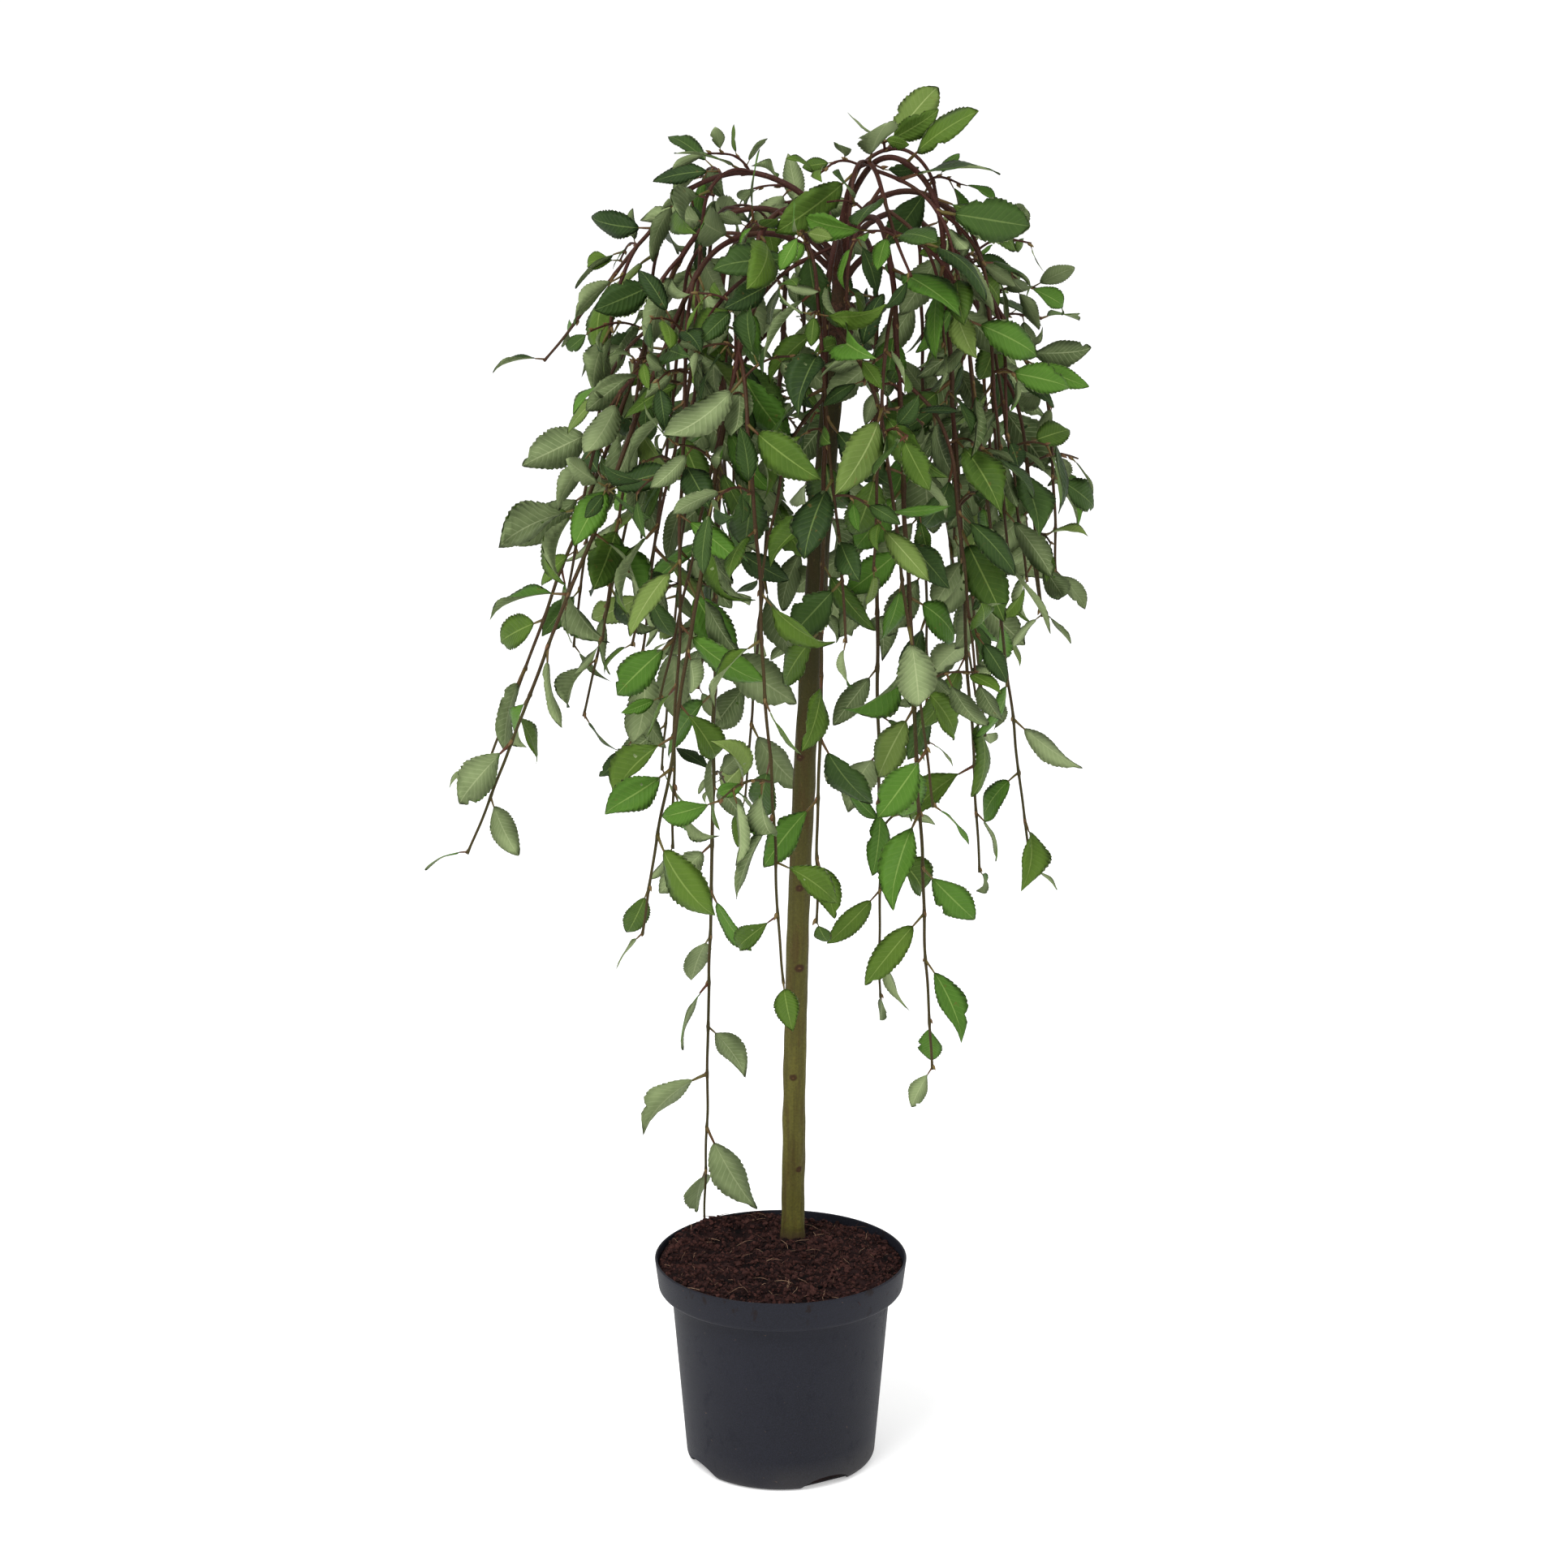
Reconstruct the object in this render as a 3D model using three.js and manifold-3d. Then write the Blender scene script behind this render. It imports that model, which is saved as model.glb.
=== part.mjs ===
// A weeping goat willow, grafted on a straight stem and grown in a round plastic nursery pot.
// Millimetres, +Z up. The origin is the centre of the pot's flat underside, the front is -Y.
// The stem rises from the compost to a swollen graft. Boughs spring from the short leader above
// it, arch over, and end where their curtains of hanging, leafy shoots begin.

import * as THREE from "three";
import { mergeVertices } from "three/addons/utils/BufferGeometryUtils.js";
import Module from "manifold-3d";

const wasm = await Module();
wasm.setup();

// ---------------------------------------------------------------- driving dimensions

const DEGREE = Math.PI / 180;
const CLEAR = 0.3; // between solids that touch in the real plant
const LEAF_CLEAR = 0.5; // between a leaf or shoot and another solid
const FINEST = 0.05; // smaller facets, left where leaves join shoots, are merged

const POT = {
  height: 195,
  rimRadius: 115,
  rimEdge: 0.8, // rounding of the rim
  bandHeight: 27, // the deep band under the rim
  bandTaper: 3, // how much narrower the band is at its foot
  ledge: 4, // height of the slope from the wall out to the band
  wallTopRadius: 99.8,
  wallFootRadius: 87,
  wall: 2.2,
  floor: 3,
  cornerHeight: 9, // the rounded corner between wall and floor
  cornerInset: 8,
  slots: 4, // drain slots through that corner
  slotWidth: 50,
  slotHeight: 11,
  slotStart: 30 * DEGREE,
  segments: 32,
};

const COMPOST = {
  level: 191, // flat part, round the stem
  edgeLevel: 188.5,
  flatRadius: 82,
};

const STEM = {
  foot: [11, 54], // x and y where it leaves the compost
  graft: [50, 45, 1046],
  leaderTop: [54, 43, 1126],
  lowRadius: 10.6,
  highRadius: 9.2,
  bow: 10, // sideways bow of the stem at half height
  pieces: 9,
  sides: 10,
};

// Three short profiles as [height, radius] pairs: the root flare above the compost, the swollen
// graft about its own height, and the leader's tip above its last bough.
const FLARE = [
  [0, 12.2],
  [10, 11.2],
  [28, 10.6],
];
const GRAFT = [
  [-24, 9.8],
  [-13, 13.3],
  [-2, 15.5],
  [8, 13.9],
  [17, 9],
  [27, 6.6],
];
const LEADER_TIP = [
  [-12, 4.8],
  [0, 3.6],
];

const SHOOT = {
  step: 12, // along a shoot's line as it grows
  straightest: 5 * DEGREE, // a solid shoot has a new straight piece after each such bend
  longest: 130, // or after this length
  shortest: 2,
  boughLength: 90, // bare, thick part, a node of its own
  boughRadius: 3.4,
  stemRadius: 2.3, // where a bough hands over to its curtain's stem
  sideRadius: 1.6,
  tipRadius: 0.85,
  sway: 6 * DEGREE,
  swayLength: 95,
  boughSides: 6,
  sides: 3,
};

const SIDE_SHOOTS = {
  count: 3,
  first: 12, // after the bough
  spacing: 66,
  spread: [30 * DEGREE, 72 * DEGREE],
  steepest: -50 * DEGREE, // taken for the stem's slope where that is steeper
  lift: 12 * DEGREE, // above the slope of the stem that it leaves
  arch: [70, 140],
  hang: [-86 * DEGREE, -76 * DEGREE],
};

const LEAF = {
  tipInset: 2, // from the end of its shoot to the last leaf
  bareStem: 14, // leafless start of a curtain's stem
  bareSide: 24, // and of a side shoot
  spacing: [38, 58],
  turn: 137.5 * DEGREE, // from one leaf to the next, round the shoot
  turnRange: 30 * DEGREE,
  otherWay: 95 * DEGREE, // a further turn, tried where something is in a leaf's way
  ways: 3,
  length: [62, 92], // with its stalk
  youngSize: 0.55, // size of the leaf at the shoot's tip, as a share
  youngRun: 90, // leaves are full-grown from this distance up
  widthShare: [0.4, 0.5],
  widest: 0.55, // along the leaf, from its root
  ridge: 0.5,
  arch: 0.07, // how far the blade bends, as a share of its length
  thicknessShare: 0.014,
  leave: 58 * DEGREE, // between shoot and stalk
  droop: [0, 0.7],
  roll: 120 * DEGREE,
  faceUp: 60, // the higher, the more the leaves face the sky and not outwards
};

// One row for each bough: its place, where it points (degrees from +X, seen from above), how high
// it leaves the leader, how steeply, how long its arch is, how steeply its curtain's stem hangs,
// how low that ends, and between what heights the curtain's side shoots end.
const BOUGH_ROWS = [
  ["left", 180, 1096, 50, 205, -69, 650, [600, 860]],
  ["left_high", 164, 1113, 54, 215, -50, 1000, [700, 980]],
  ["left_front", 206, 1080, 48, 205, -66, 610, [600, 840]],
  ["front_left", 234, 1106, 52, 190, -74, 560, [520, 880]],
  ["front", 262, 1090, 50, 180, -83, 560, [560, 900]],
  ["front_right", 292, 1102, 52, 180, -82, 430, [540, 880]],
  ["right_front", 320, 1119, 80, 205, -85, 580, [580, 900]],
  ["right", 350, 1079, 50, 170, -60, 980, [800, 960]],
  ["right_high", 14, 1110, 62, 175, -85, 860, [740, 980]],
  ["back_right", 45, 1094, 52, 185, -81, 640, [620, 920]],
  ["back", 74, 1078, 50, 180, -87, 390, [560, 900]],
  ["back_left", 112, 1102, 52, 190, -78, 560, [560, 900]],
  ["left_back", 152, 1086, 52, 186, -88.5, 182, [560, 900]],
  ["top", 290, 1124, 82, 150, -45, 1110, [1020, 1120]],
];

// The leafy top has a shorter bough, and more side shoots, closer together.
const TOP = { bare: 50, spacing: 24, count: 5 };

const SEED = { shoots: 1000, bough: 77, leaves: 8064, curtain: 101, shoot: 13 };

const COLOUR = {
  pot: { color: 0x2c2f35, roughness: 0.55 },
  compost: { color: 0x2e1a14, roughness: 1 },
  bark: { color: 0x5a5233, roughness: 0.8 },
  leaf: { color: 0x3c6b2c, roughness: 0.6 },
};

// ---------------------------------------------------------------- small helpers

// A seeded generator of numbers from 0 to 1, so that the same plant grows every time.
function seededDraw(seed) {
  let state = seed >>> 0;
  return () => {
    state = (state + 0x6d2b79f5) >>> 0;
    let mixed = Math.imul(state ^ (state >>> 15), state | 1);
    mixed ^= mixed + Math.imul(mixed ^ (mixed >>> 7), mixed | 61);
    return ((mixed ^ (mixed >>> 14)) >>> 0) / 2 ** 32;
  };
}

const between = ([low, high], share) => low + (high - low) * share;

function solidOf(geometry) {
  const bare = geometry.clone();
  bare.deleteAttribute("normal");
  bare.deleteAttribute("uv");
  const merged = mergeVertices(bare, 1e-4);
  const mesh = new wasm.Mesh({
    numProp: 3,
    vertProperties: merged.attributes.position.array,
    triVerts: new Uint32Array(merged.index.array),
  });
  return new wasm.Manifold(mesh);
}

function geometryOf(solid) {
  const mesh = solid.getMesh();
  const geometry = new THREE.BufferGeometry();
  geometry.setAttribute("position", new THREE.BufferAttribute(mesh.vertProperties, 3));
  geometry.setIndex(new THREE.BufferAttribute(mesh.triVerts, 1));
  geometry.computeVertexNormals();
  return geometry;
}

function meshOf({ name, solid }, finish) {
  const mesh = new THREE.Mesh(geometryOf(solid), new THREE.MeshStandardMaterial(finish));
  mesh.name = name;
  return mesh;
}

// The main body of a solid, without any loose scrap.
function largest(solid) {
  const bodies = solid.decompose();
  return bodies.reduce((best, body) => (body.volume() > best.volume() ? body : best));
}

// A revolved solid about +Z. The profile is a list of [radius, height] that starts and ends on
// the axis and runs up the outside.
function revolved(profile, segments) {
  const points = profile.map(([radius, height]) => new THREE.Vector2(radius, height));
  return new THREE.LatheGeometry(points, segments).rotateX(Math.PI / 2);
}

// The heading of a line of points at each of them.
function tangentsOf(points) {
  return points.map((point, i) => {
    const before = points[Math.max(i - 1, 0)];
    const after = points[Math.min(i + 1, points.length - 1)];
    return after.clone().sub(before).normalize();
  });
}

// A tapering limb: a revolved rod whose rings are carried along a line of points.
function limb(points, radii, sides) {
  const profile = [[0, 0], ...radii.map((radius, i) => [radius, i]), [0, radii.length - 1]];
  const rod = revolved(profile, sides);
  const tangents = tangentsOf(points);
  let side = new THREE.Vector3(0, 0, 1).cross(tangents[0]);
  const across = tangents.map((tangent) => {
    side = side.clone().addScaledVector(tangent, -side.dot(tangent)).normalize();
    return side;
  });
  const place = rod.attributes.position;
  const vertex = new THREE.Vector3();
  for (let i = 0; i < place.count; i++) {
    vertex.fromBufferAttribute(place, i);
    const ring = Math.round(vertex.z);
    const second = tangents[ring].clone().cross(across[ring]);
    const { x, y } = vertex;
    vertex.copy(points[ring]).addScaledVector(across[ring], x).addScaledVector(second, y);
    place.setXYZ(i, vertex.x, vertex.y, vertex.z);
  }
  return rod;
}

// ---------------------------------------------------------------- pot and compost

const bandFoot = POT.height - POT.bandHeight;
const bandRadius = POT.rimRadius - POT.bandTaper;

// The inside of the pot from the edge of its floor to its rim, drawn in by a clearance.
function potInside(clear) {
  const shrink = POT.wall + clear;
  return [
    [POT.wallFootRadius - POT.cornerInset - clear, POT.floor + clear],
    [POT.wallFootRadius - shrink, POT.floor + POT.cornerHeight],
    [POT.wallTopRadius - shrink, bandFoot - POT.ledge],
    [bandRadius - shrink, bandFoot + POT.ledge + clear],
    [POT.rimRadius - shrink, POT.height],
  ];
}

function potSolid() {
  const outside = [
    [0, 0],
    [POT.wallFootRadius - POT.cornerInset, 0],
    [POT.wallFootRadius - POT.cornerInset / 3, POT.cornerHeight / 3],
    [POT.wallFootRadius, POT.cornerHeight],
    [POT.wallTopRadius, bandFoot - POT.ledge * 1.5],
    [bandRadius - POT.bandTaper, bandFoot - POT.ledge / 2],
    [bandRadius, bandFoot + POT.ledge / 2],
    [POT.rimRadius, POT.height - POT.rimEdge * 2],
    [POT.rimRadius - POT.rimEdge, POT.height],
  ];
  const profile = [...outside, ...potInside(0).reverse(), [0, POT.floor]];
  let pot = solidOf(revolved(profile, POT.segments));
  for (let i = 0; i < POT.slots; i++) {
    const slot = new THREE.CylinderGeometry(1, 1, POT.cornerInset * 3, 10);
    slot.scale(POT.slotWidth / 2, 1, POT.slotHeight);
    slot.translate(0, POT.wallFootRadius, 0);
    slot.rotateZ(POT.slotStart + (i / POT.slots) * 360 * DEGREE);
    pot = pot.subtract(solidOf(slot));
  }
  return pot;
}

function compostSolid() {
  const inside = potInside(CLEAR);
  const [lower, upper] = inside.slice(-2);
  const share = (COMPOST.edgeLevel - lower[1]) / (upper[1] - lower[1]);
  const edge = [lower[0] + (upper[0] - lower[0]) * share, COMPOST.edgeLevel];
  const top = [edge, [COMPOST.flatRadius, COMPOST.level], [0, COMPOST.level]];
  const profile = [[0, POT.floor + CLEAR], ...inside.slice(0, -1), ...top];
  return solidOf(revolved(profile, POT.segments));
}

// ---------------------------------------------------------------- stem, graft and leader

const footHeight = COMPOST.level + CLEAR;
const footPoint = new THREE.Vector3(...STEM.foot, footHeight);
const graftPoint = new THREE.Vector3(...STEM.graft);
const leaderTop = new THREE.Vector3(...STEM.leaderTop);

// The centre line of the stem and leader at a height.
function stemCentre(height) {
  if (height >= graftPoint.z) {
    const share = (height - graftPoint.z) / (leaderTop.z - graftPoint.z);
    return graftPoint.clone().lerp(leaderTop, share);
  }
  const share = (height - footPoint.z) / (graftPoint.z - footPoint.z);
  const point = footPoint.clone().lerp(graftPoint, share);
  point.x -= STEM.bow * Math.sin(share * Math.PI);
  return point;
}

// [height, radius] from the flat cut at the compost to the leader's tip.
function stemProfile() {
  const raised = (rows, base) => rows.map(([height, radius]) => [base + height, radius]);
  const flare = raised(FLARE, footHeight);
  const graft = raised(GRAFT, graftPoint.z);
  const low = flare.at(-1)[0];
  const high = graft[0][0];
  const middle = [];
  for (let i = 1; i < STEM.pieces; i++) {
    const share = i / STEM.pieces;
    middle.push([between([low, high], share), between([STEM.lowRadius, STEM.highRadius], share)]);
  }
  return [...flare, ...middle, ...graft, ...raised(LEADER_TIP, leaderTop.z)];
}

// The stem and leader as one solid, or its socket, grown by a clearance.
function stemSolid(growth) {
  const rows = stemProfile();
  const points = rows.map(([height]) => stemCentre(height));
  points[0].z -= growth;
  points.at(-1).z += growth;
  const radii = rows.map(([, radius]) => radius + growth);
  return solidOf(limb(points, radii, STEM.sides));
}

// ---------------------------------------------------------------- shoots

// The line of a shoot: it rises, bends over along its arch, then hangs until its tip height.
function shootLine({ start, azimuth, rise, arch, hang, tipHeight, phase }) {
  const points = [start.clone()];
  for (let run = 0; run < arch || points.at(-1).z > tipHeight; run += SHOOT.step) {
    const share = Math.min((run + SHOOT.step / 2) / arch, 1);
    const slope = rise + (hang - rise) * THREE.MathUtils.smoothstep(share, 0, 1);
    const bearing = azimuth + SHOOT.sway * Math.sin((run / SHOOT.swayLength + phase) * Math.PI);
    const heading = new THREE.Vector3(
      Math.cos(slope) * Math.cos(bearing),
      Math.cos(slope) * Math.sin(bearing),
      Math.sin(slope),
    );
    points.push(points.at(-1).clone().addScaledVector(heading, SHOOT.step));
  }
  return fewerPoints(points);
}

// The fewest points of a line that still follow its bends.
function fewerPoints(points) {
  const kept = [points[0]];
  for (let i = 1; i < points.length - 1; i++) {
    const piece = points[i].clone().sub(kept.at(-1));
    const ahead = points[i + 1].clone().sub(points[i]);
    const bent = piece.angleTo(ahead) > SHOOT.straightest;
    if (bent || piece.length() > SHOOT.longest) kept.push(points[i]);
  }
  return [...kept, points.at(-1)];
}

// The place and heading at a distance along a line, and the number of the point after it.
function along(line, distance) {
  let left = distance;
  let after = 1;
  while (after < line.length - 1 && left > line[after].distanceTo(line[after - 1])) {
    left -= line[after].distanceTo(line[after - 1]);
    after++;
  }
  const heading = line[after].clone().sub(line[after - 1]).normalize();
  const point = line[after - 1].clone().addScaledVector(heading, left);
  return { point, heading, after };
}

function lengthOf(line) {
  return line.slice(1).reduce((length, point, i) => length + point.distanceTo(line[i]), 0);
}

// The part of a line between two distances, with its own end points.
function stretch(line, from, to) {
  const first = along(line, from);
  const last = along(line, to);
  const points = [first.point, ...line.slice(first.after, last.after), last.point];
  return points.filter((point, i) => !i || point.distanceTo(points[i - 1]) > SHOOT.shortest);
}

// A radius for each point of a line, from one end's to the other's.
function taper(points, from, to) {
  return points.map((point, i) => between([from, to], i / (points.length - 1)));
}

// The line of a bough and its curtain's stem, and those of the side shoots that leave it.
function growBough([place, azimuth, foot, rise, arch, hang, tipHeight, sideTips], index) {
  const draw = seededDraw(SEED.shoots + index * SEED.bough);
  const shape = place === "top" ? TOP : { bare: SHOOT.boughLength, ...SIDE_SHOOTS };
  const main = shootLine({
    start: stemCentre(foot),
    azimuth: azimuth * DEGREE,
    rise: rise * DEGREE,
    arch,
    hang: hang * DEGREE,
    tipHeight,
    phase: draw() * 2,
  });
  const sides = [];
  for (let i = 0; i < shape.count; i++) {
    const fork = along(main, shape.bare + SIDE_SHOOTS.first + i * shape.spacing);
    const slope = Math.max(Math.asin(fork.heading.z), SIDE_SHOOTS.steepest);
    const hand = (i + index) % 2 ? 1 : -1;
    const line = shootLine({
      start: fork.point,
      azimuth: azimuth * DEGREE + hand * between(SIDE_SHOOTS.spread, draw()),
      rise: slope + SIDE_SHOOTS.lift,
      arch: between(SIDE_SHOOTS.arch, draw()),
      hang: between(SIDE_SHOOTS.hang, draw()),
      tipHeight: between(sideTips, draw()),
      phase: draw() * 2,
    });
    sides.push(line);
  }
  return { place, index, bare: shape.bare, main, sides };
}

// ---------------------------------------------------------------- leaves

// One leaf: a four-cornered blade with a ridge along its upper side, whose root lies in its shoot.
function leafSolid({ root, heading, face, length, width }) {
  const across = face.clone().cross(heading);
  const corner = (run, side, lift) =>
    root
      .clone()
      .addScaledVector(heading, run * length)
      .addScaledVector(across, (side * width) / 2)
      .addScaledVector(face, lift * length);
  const blade = new THREE.BufferGeometry().setFromPoints([
    corner(0, 0, 0),
    corner(LEAF.widest, 1, LEAF.arch),
    corner(LEAF.widest, -1, LEAF.arch),
    corner(1, 0, 0),
    corner(LEAF.ridge, 0, LEAF.arch + LEAF.thicknessShare),
  ]);
  blade.setIndex([0, 2, 4, 2, 3, 4, 3, 1, 4, 1, 0, 4, 0, 1, 2, 3, 2, 1]);
  return solidOf(blade);
}

// One leaf's place. It leaves its shoot sideways, droops, and faces up and away from the stem.
function leafAt({ point, heading }, turn, size, values) {
  const first = new THREE.Vector3(0, 0, 1).cross(heading).normalize();
  const second = heading.clone().cross(first);
  const leafHeading = heading
    .clone()
    .multiplyScalar(Math.cos(LEAF.leave))
    .addScaledVector(first, Math.sin(LEAF.leave) * Math.cos(turn))
    .addScaledVector(second, Math.sin(LEAF.leave) * Math.sin(turn))
    .addScaledVector(new THREE.Vector3(0, 0, -1), between(LEAF.droop, values[0]))
    .normalize();
  const outward = point.clone().sub(graftPoint).setZ(LEAF.faceUp).normalize();
  const face = outward.addScaledVector(leafHeading, -outward.dot(leafHeading)).normalize();
  face.applyAxisAngle(leafHeading, (values[1] - 0.5) * LEAF.roll);
  const length = between(LEAF.length, values[2]) * size;
  const width = length * between(LEAF.widthShare, values[3]);
  return { root: point, heading: leafHeading, face, length, width };
}

// The leaves of one shoot, from its tip upwards. Each comes as the few ways it may stand: turned
// round the shoot from the one before, or further on where another solid is in its way.
function leavesOf({ line, bare }, seed) {
  const draw = seededDraw(seed);
  const total = lengthOf(line);
  const leaves = [];
  let at = total - LEAF.tipInset;
  let turn = draw() * 360 * DEGREE;
  while (at > bare) {
    const values = Array.from({ length: 5 }, draw);
    const grown = Math.min((total - at) / LEAF.youngRun, 1);
    const size = between([LEAF.youngSize, 1], grown);
    const place = along(line, at);
    const ways = [];
    for (let way = 0; way < LEAF.ways; way++) {
      ways.push(leafSolid(leafAt(place, turn + way * LEAF.otherWay, size, values)));
    }
    leaves.push(ways);
    turn += LEAF.turn + (values[4] - 0.5) * LEAF.turnRange;
    at -= between(LEAF.spacing, draw());
  }
  return leaves;
}

// ---------------------------------------------------------------- keeping clear

// A solid with its owner's name and its box, for quick tests of what is near it.
function item(name, solid) {
  const { min, max } = solid.boundingBox();
  const box = new THREE.Box3(new THREE.Vector3(...min), new THREE.Vector3(...max));
  return { name, solid, box };
}

// Whether a solid comes too near any other, apart from those that it may join.
function touches({ solid, box }, others, mayJoin) {
  const reach = box.clone().expandByScalar(LEAF_CLEAR);
  return others.some((other) => {
    if (mayJoin(other) || !reach.intersectsBox(other.box)) return false;
    return solid.minGap(other.solid, LEAF_CLEAR * 2) < LEAF_CLEAR;
  });
}

// ---------------------------------------------------------------- the whole plant

// The bare boughs, each cut 0.3 mm clear of the leader and of the boughs before it.
function boughItems(grown) {
  let taken = stemSolid(CLEAR);
  return grown.map(({ place, main, bare }) => {
    const points = stretch(main, 0, bare);
    const radii = taper(points, SHOOT.boughRadius, SHOOT.stemRadius);
    const sleeve = limb(points, radii.map((radius) => radius + CLEAR), SHOOT.boughSides);
    const rod = solidOf(limb(points, radii, SHOOT.boughSides));
    const solid = largest(rod.subtract(taken));
    taken = taken.add(solidOf(sleeve));
    return item("bough_" + place, solid);
  });
}

// The leafless shoots of one curtain: its stem, which starts just clear of its bough, and its
// side shoots, without those that would touch anything of another node.
function curtainShoots({ place, main, sides, bare }, placed) {
  const name = "curtain_" + place;
  const shoot = (line, points, radius, leafless) => {
    const rod = limb(points, taper(points, radius, SHOOT.tipRadius), SHOOT.sides);
    return { line, bare: leafless, rod: item(name, solidOf(rod)) };
  };
  const stemPoints = stretch(main, bare + CLEAR, lengthOf(main));
  const stem = shoot(main, stemPoints, SHOOT.stemRadius, bare + LEAF.bareStem);
  const branches = sides.map((line) => shoot(line, line, SHOOT.sideRadius, LEAF.bareSide));
  const clear = branches.filter(({ rod }) => !touches(rod, placed, (other) => other.name === name));
  return [stem, ...clear];
}

// One curtain: its shoots and every leaf that keeps clear of all but its own shoot, as one solid.
function curtainItem(shoots, index, placed) {
  const { name } = shoots[0].rod;
  const solids = shoots.map(({ rod }) => rod.solid);
  shoots.forEach((shoot, i) => {
    const seed = SEED.leaves + index * SEED.curtain + i * SEED.shoot;
    for (const ways of leavesOf(shoot, seed)) {
      const leaves = ways.map((solid) => item(name, solid));
      const leaf = leaves.find((way) => !touches(way, placed, (other) => other === shoot.rod));
      if (leaf) {
        placed.push(leaf);
        solids.push(leaf.solid);
      }
    }
  });
  return item(name, largest(wasm.Manifold.union(solids).simplify(FINEST)));
}

function build() {
  const pot = item("pot", potSolid());
  const compost = item("compost", compostSolid());
  const stem = item("stem", stemSolid(0));
  const grown = BOUGH_ROWS.map(growBough);
  const boughs = boughItems(grown);
  const placed = [pot, compost, stem, ...boughs];
  const curtains = grown.map((bough) => {
    const shoots = curtainShoots(bough, placed);
    placed.push(...shoots.map(({ rod }) => rod));
    return shoots;
  });
  const masses = curtains.map((shoots, index) => curtainItem(shoots, index, placed));

  const plant = new THREE.Group();
  plant.add(meshOf(pot, COLOUR.pot), meshOf(compost, COLOUR.compost), meshOf(stem, COLOUR.bark));
  plant.add(...boughs.map((bough) => meshOf(bough, COLOUR.bark)));
  plant.add(...masses.map((mass) => meshOf(mass, COLOUR.leaf)));
  return plant;
}

export default build();
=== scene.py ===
# A weeping goat willow, grafted on a straight stem and grown in a nursery pot.
# The frame holds its solids. This script grows the same plant by the same rule, in finer detail.
import math

import bmesh
import bpy
from mathutils import Matrix, Vector, noise
from mathutils.bvhtree import BVHTree


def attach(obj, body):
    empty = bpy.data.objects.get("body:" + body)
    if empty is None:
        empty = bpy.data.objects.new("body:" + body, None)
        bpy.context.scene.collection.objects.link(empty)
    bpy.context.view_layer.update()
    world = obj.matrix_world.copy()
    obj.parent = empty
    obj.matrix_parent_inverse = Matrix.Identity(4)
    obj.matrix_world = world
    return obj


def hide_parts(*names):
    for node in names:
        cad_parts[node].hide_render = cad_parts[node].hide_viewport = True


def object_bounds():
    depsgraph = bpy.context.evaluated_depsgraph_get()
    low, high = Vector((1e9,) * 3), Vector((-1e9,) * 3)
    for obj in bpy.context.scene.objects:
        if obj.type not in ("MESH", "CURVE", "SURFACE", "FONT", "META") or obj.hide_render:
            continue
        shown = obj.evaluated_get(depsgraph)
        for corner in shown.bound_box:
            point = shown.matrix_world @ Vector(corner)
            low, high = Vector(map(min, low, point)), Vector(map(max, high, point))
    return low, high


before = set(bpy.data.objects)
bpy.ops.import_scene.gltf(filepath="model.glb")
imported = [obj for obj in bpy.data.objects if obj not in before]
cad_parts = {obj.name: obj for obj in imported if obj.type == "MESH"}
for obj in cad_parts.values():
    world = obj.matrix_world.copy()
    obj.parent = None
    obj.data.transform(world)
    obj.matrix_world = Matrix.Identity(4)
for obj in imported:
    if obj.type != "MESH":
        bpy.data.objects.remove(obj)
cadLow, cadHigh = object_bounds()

mm = 0.001
degree = math.pi / 180
circle = 2 * math.pi
up = Vector((0, 0, 1))
scene = bpy.context.scene
noise.seed_set(46)  # noise_vector starts from the clock without it


def linked(name, data):
    piece = bpy.data.objects.new(name, data)
    scene.collection.objects.link(piece)
    return piece


# the camera comes first: it looks at the pot's middle axis from in front and a little above
cameraPlace = {"aside": 0.003, "distance": 3.3, "height": 1.5235, "downTilt": 14.97, "lens": 88.67}


def makeCamera(place):
    data = bpy.data.cameras.new("camera")
    data.lens = place["lens"]
    data.sensor_width = 36
    camera = linked("camera", data)
    camera.location = (place["aside"], -place["distance"], place["height"])
    camera.rotation_euler = ((90 - place["downTilt"]) * degree, 0, 0)
    scene.camera = camera


makeCamera(cameraPlace)
print("camera placed")

# small helpers for draws, meshes and node trees


def seededDraw(seed):
    word = 0xFFFFFFFF
    state = seed & word

    def draw():
        nonlocal state
        state = (state + 0x6D2B79F5) & word
        mixed = ((state ^ (state >> 15)) * (state | 1)) & word
        mixed ^= (mixed + ((mixed ^ (mixed >> 7)) * (mixed | 61))) & word
        return (mixed ^ (mixed >> 14)) / 2**32

    return draw


def between(pair, share):
    return pair[0] + (pair[1] - pair[0]) * share


def smooth(share):
    share = min(max(share, 0), 1)
    return share * share * (3 - 2 * share)


def ramp(value, start, length):
    return smooth((value - start) / length)


def polar(angle, radius=1):
    return radius * math.cos(angle), radius * math.sin(angle)


def angleFrom(angle, turn):
    # how far an angle is from a turn in degrees, the short way round
    return (angle - turn * degree + math.pi) % circle - math.pi


def meshOf(name, points, faces, edges=()):
    mesh = bpy.data.meshes.new(name)
    mesh.from_pydata([tuple(p) for p in points], list(edges), faces)
    mesh.update()
    return mesh


def tubeFaces(rings, sides, first=0):
    # the faces between rings of points that follow each other, closed at both ends
    faces = []
    for ring in range(first, first + (rings - 1) * sides, sides):
        for i in range(sides):
            a, b = ring + i, ring + (i + 1) % sides
            faces.append((a, b, b + sides, a + sides))
    last = first + (rings - 1) * sides
    return faces + [tuple(reversed(range(first, first + sides))), tuple(range(last, last + sides))]


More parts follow.
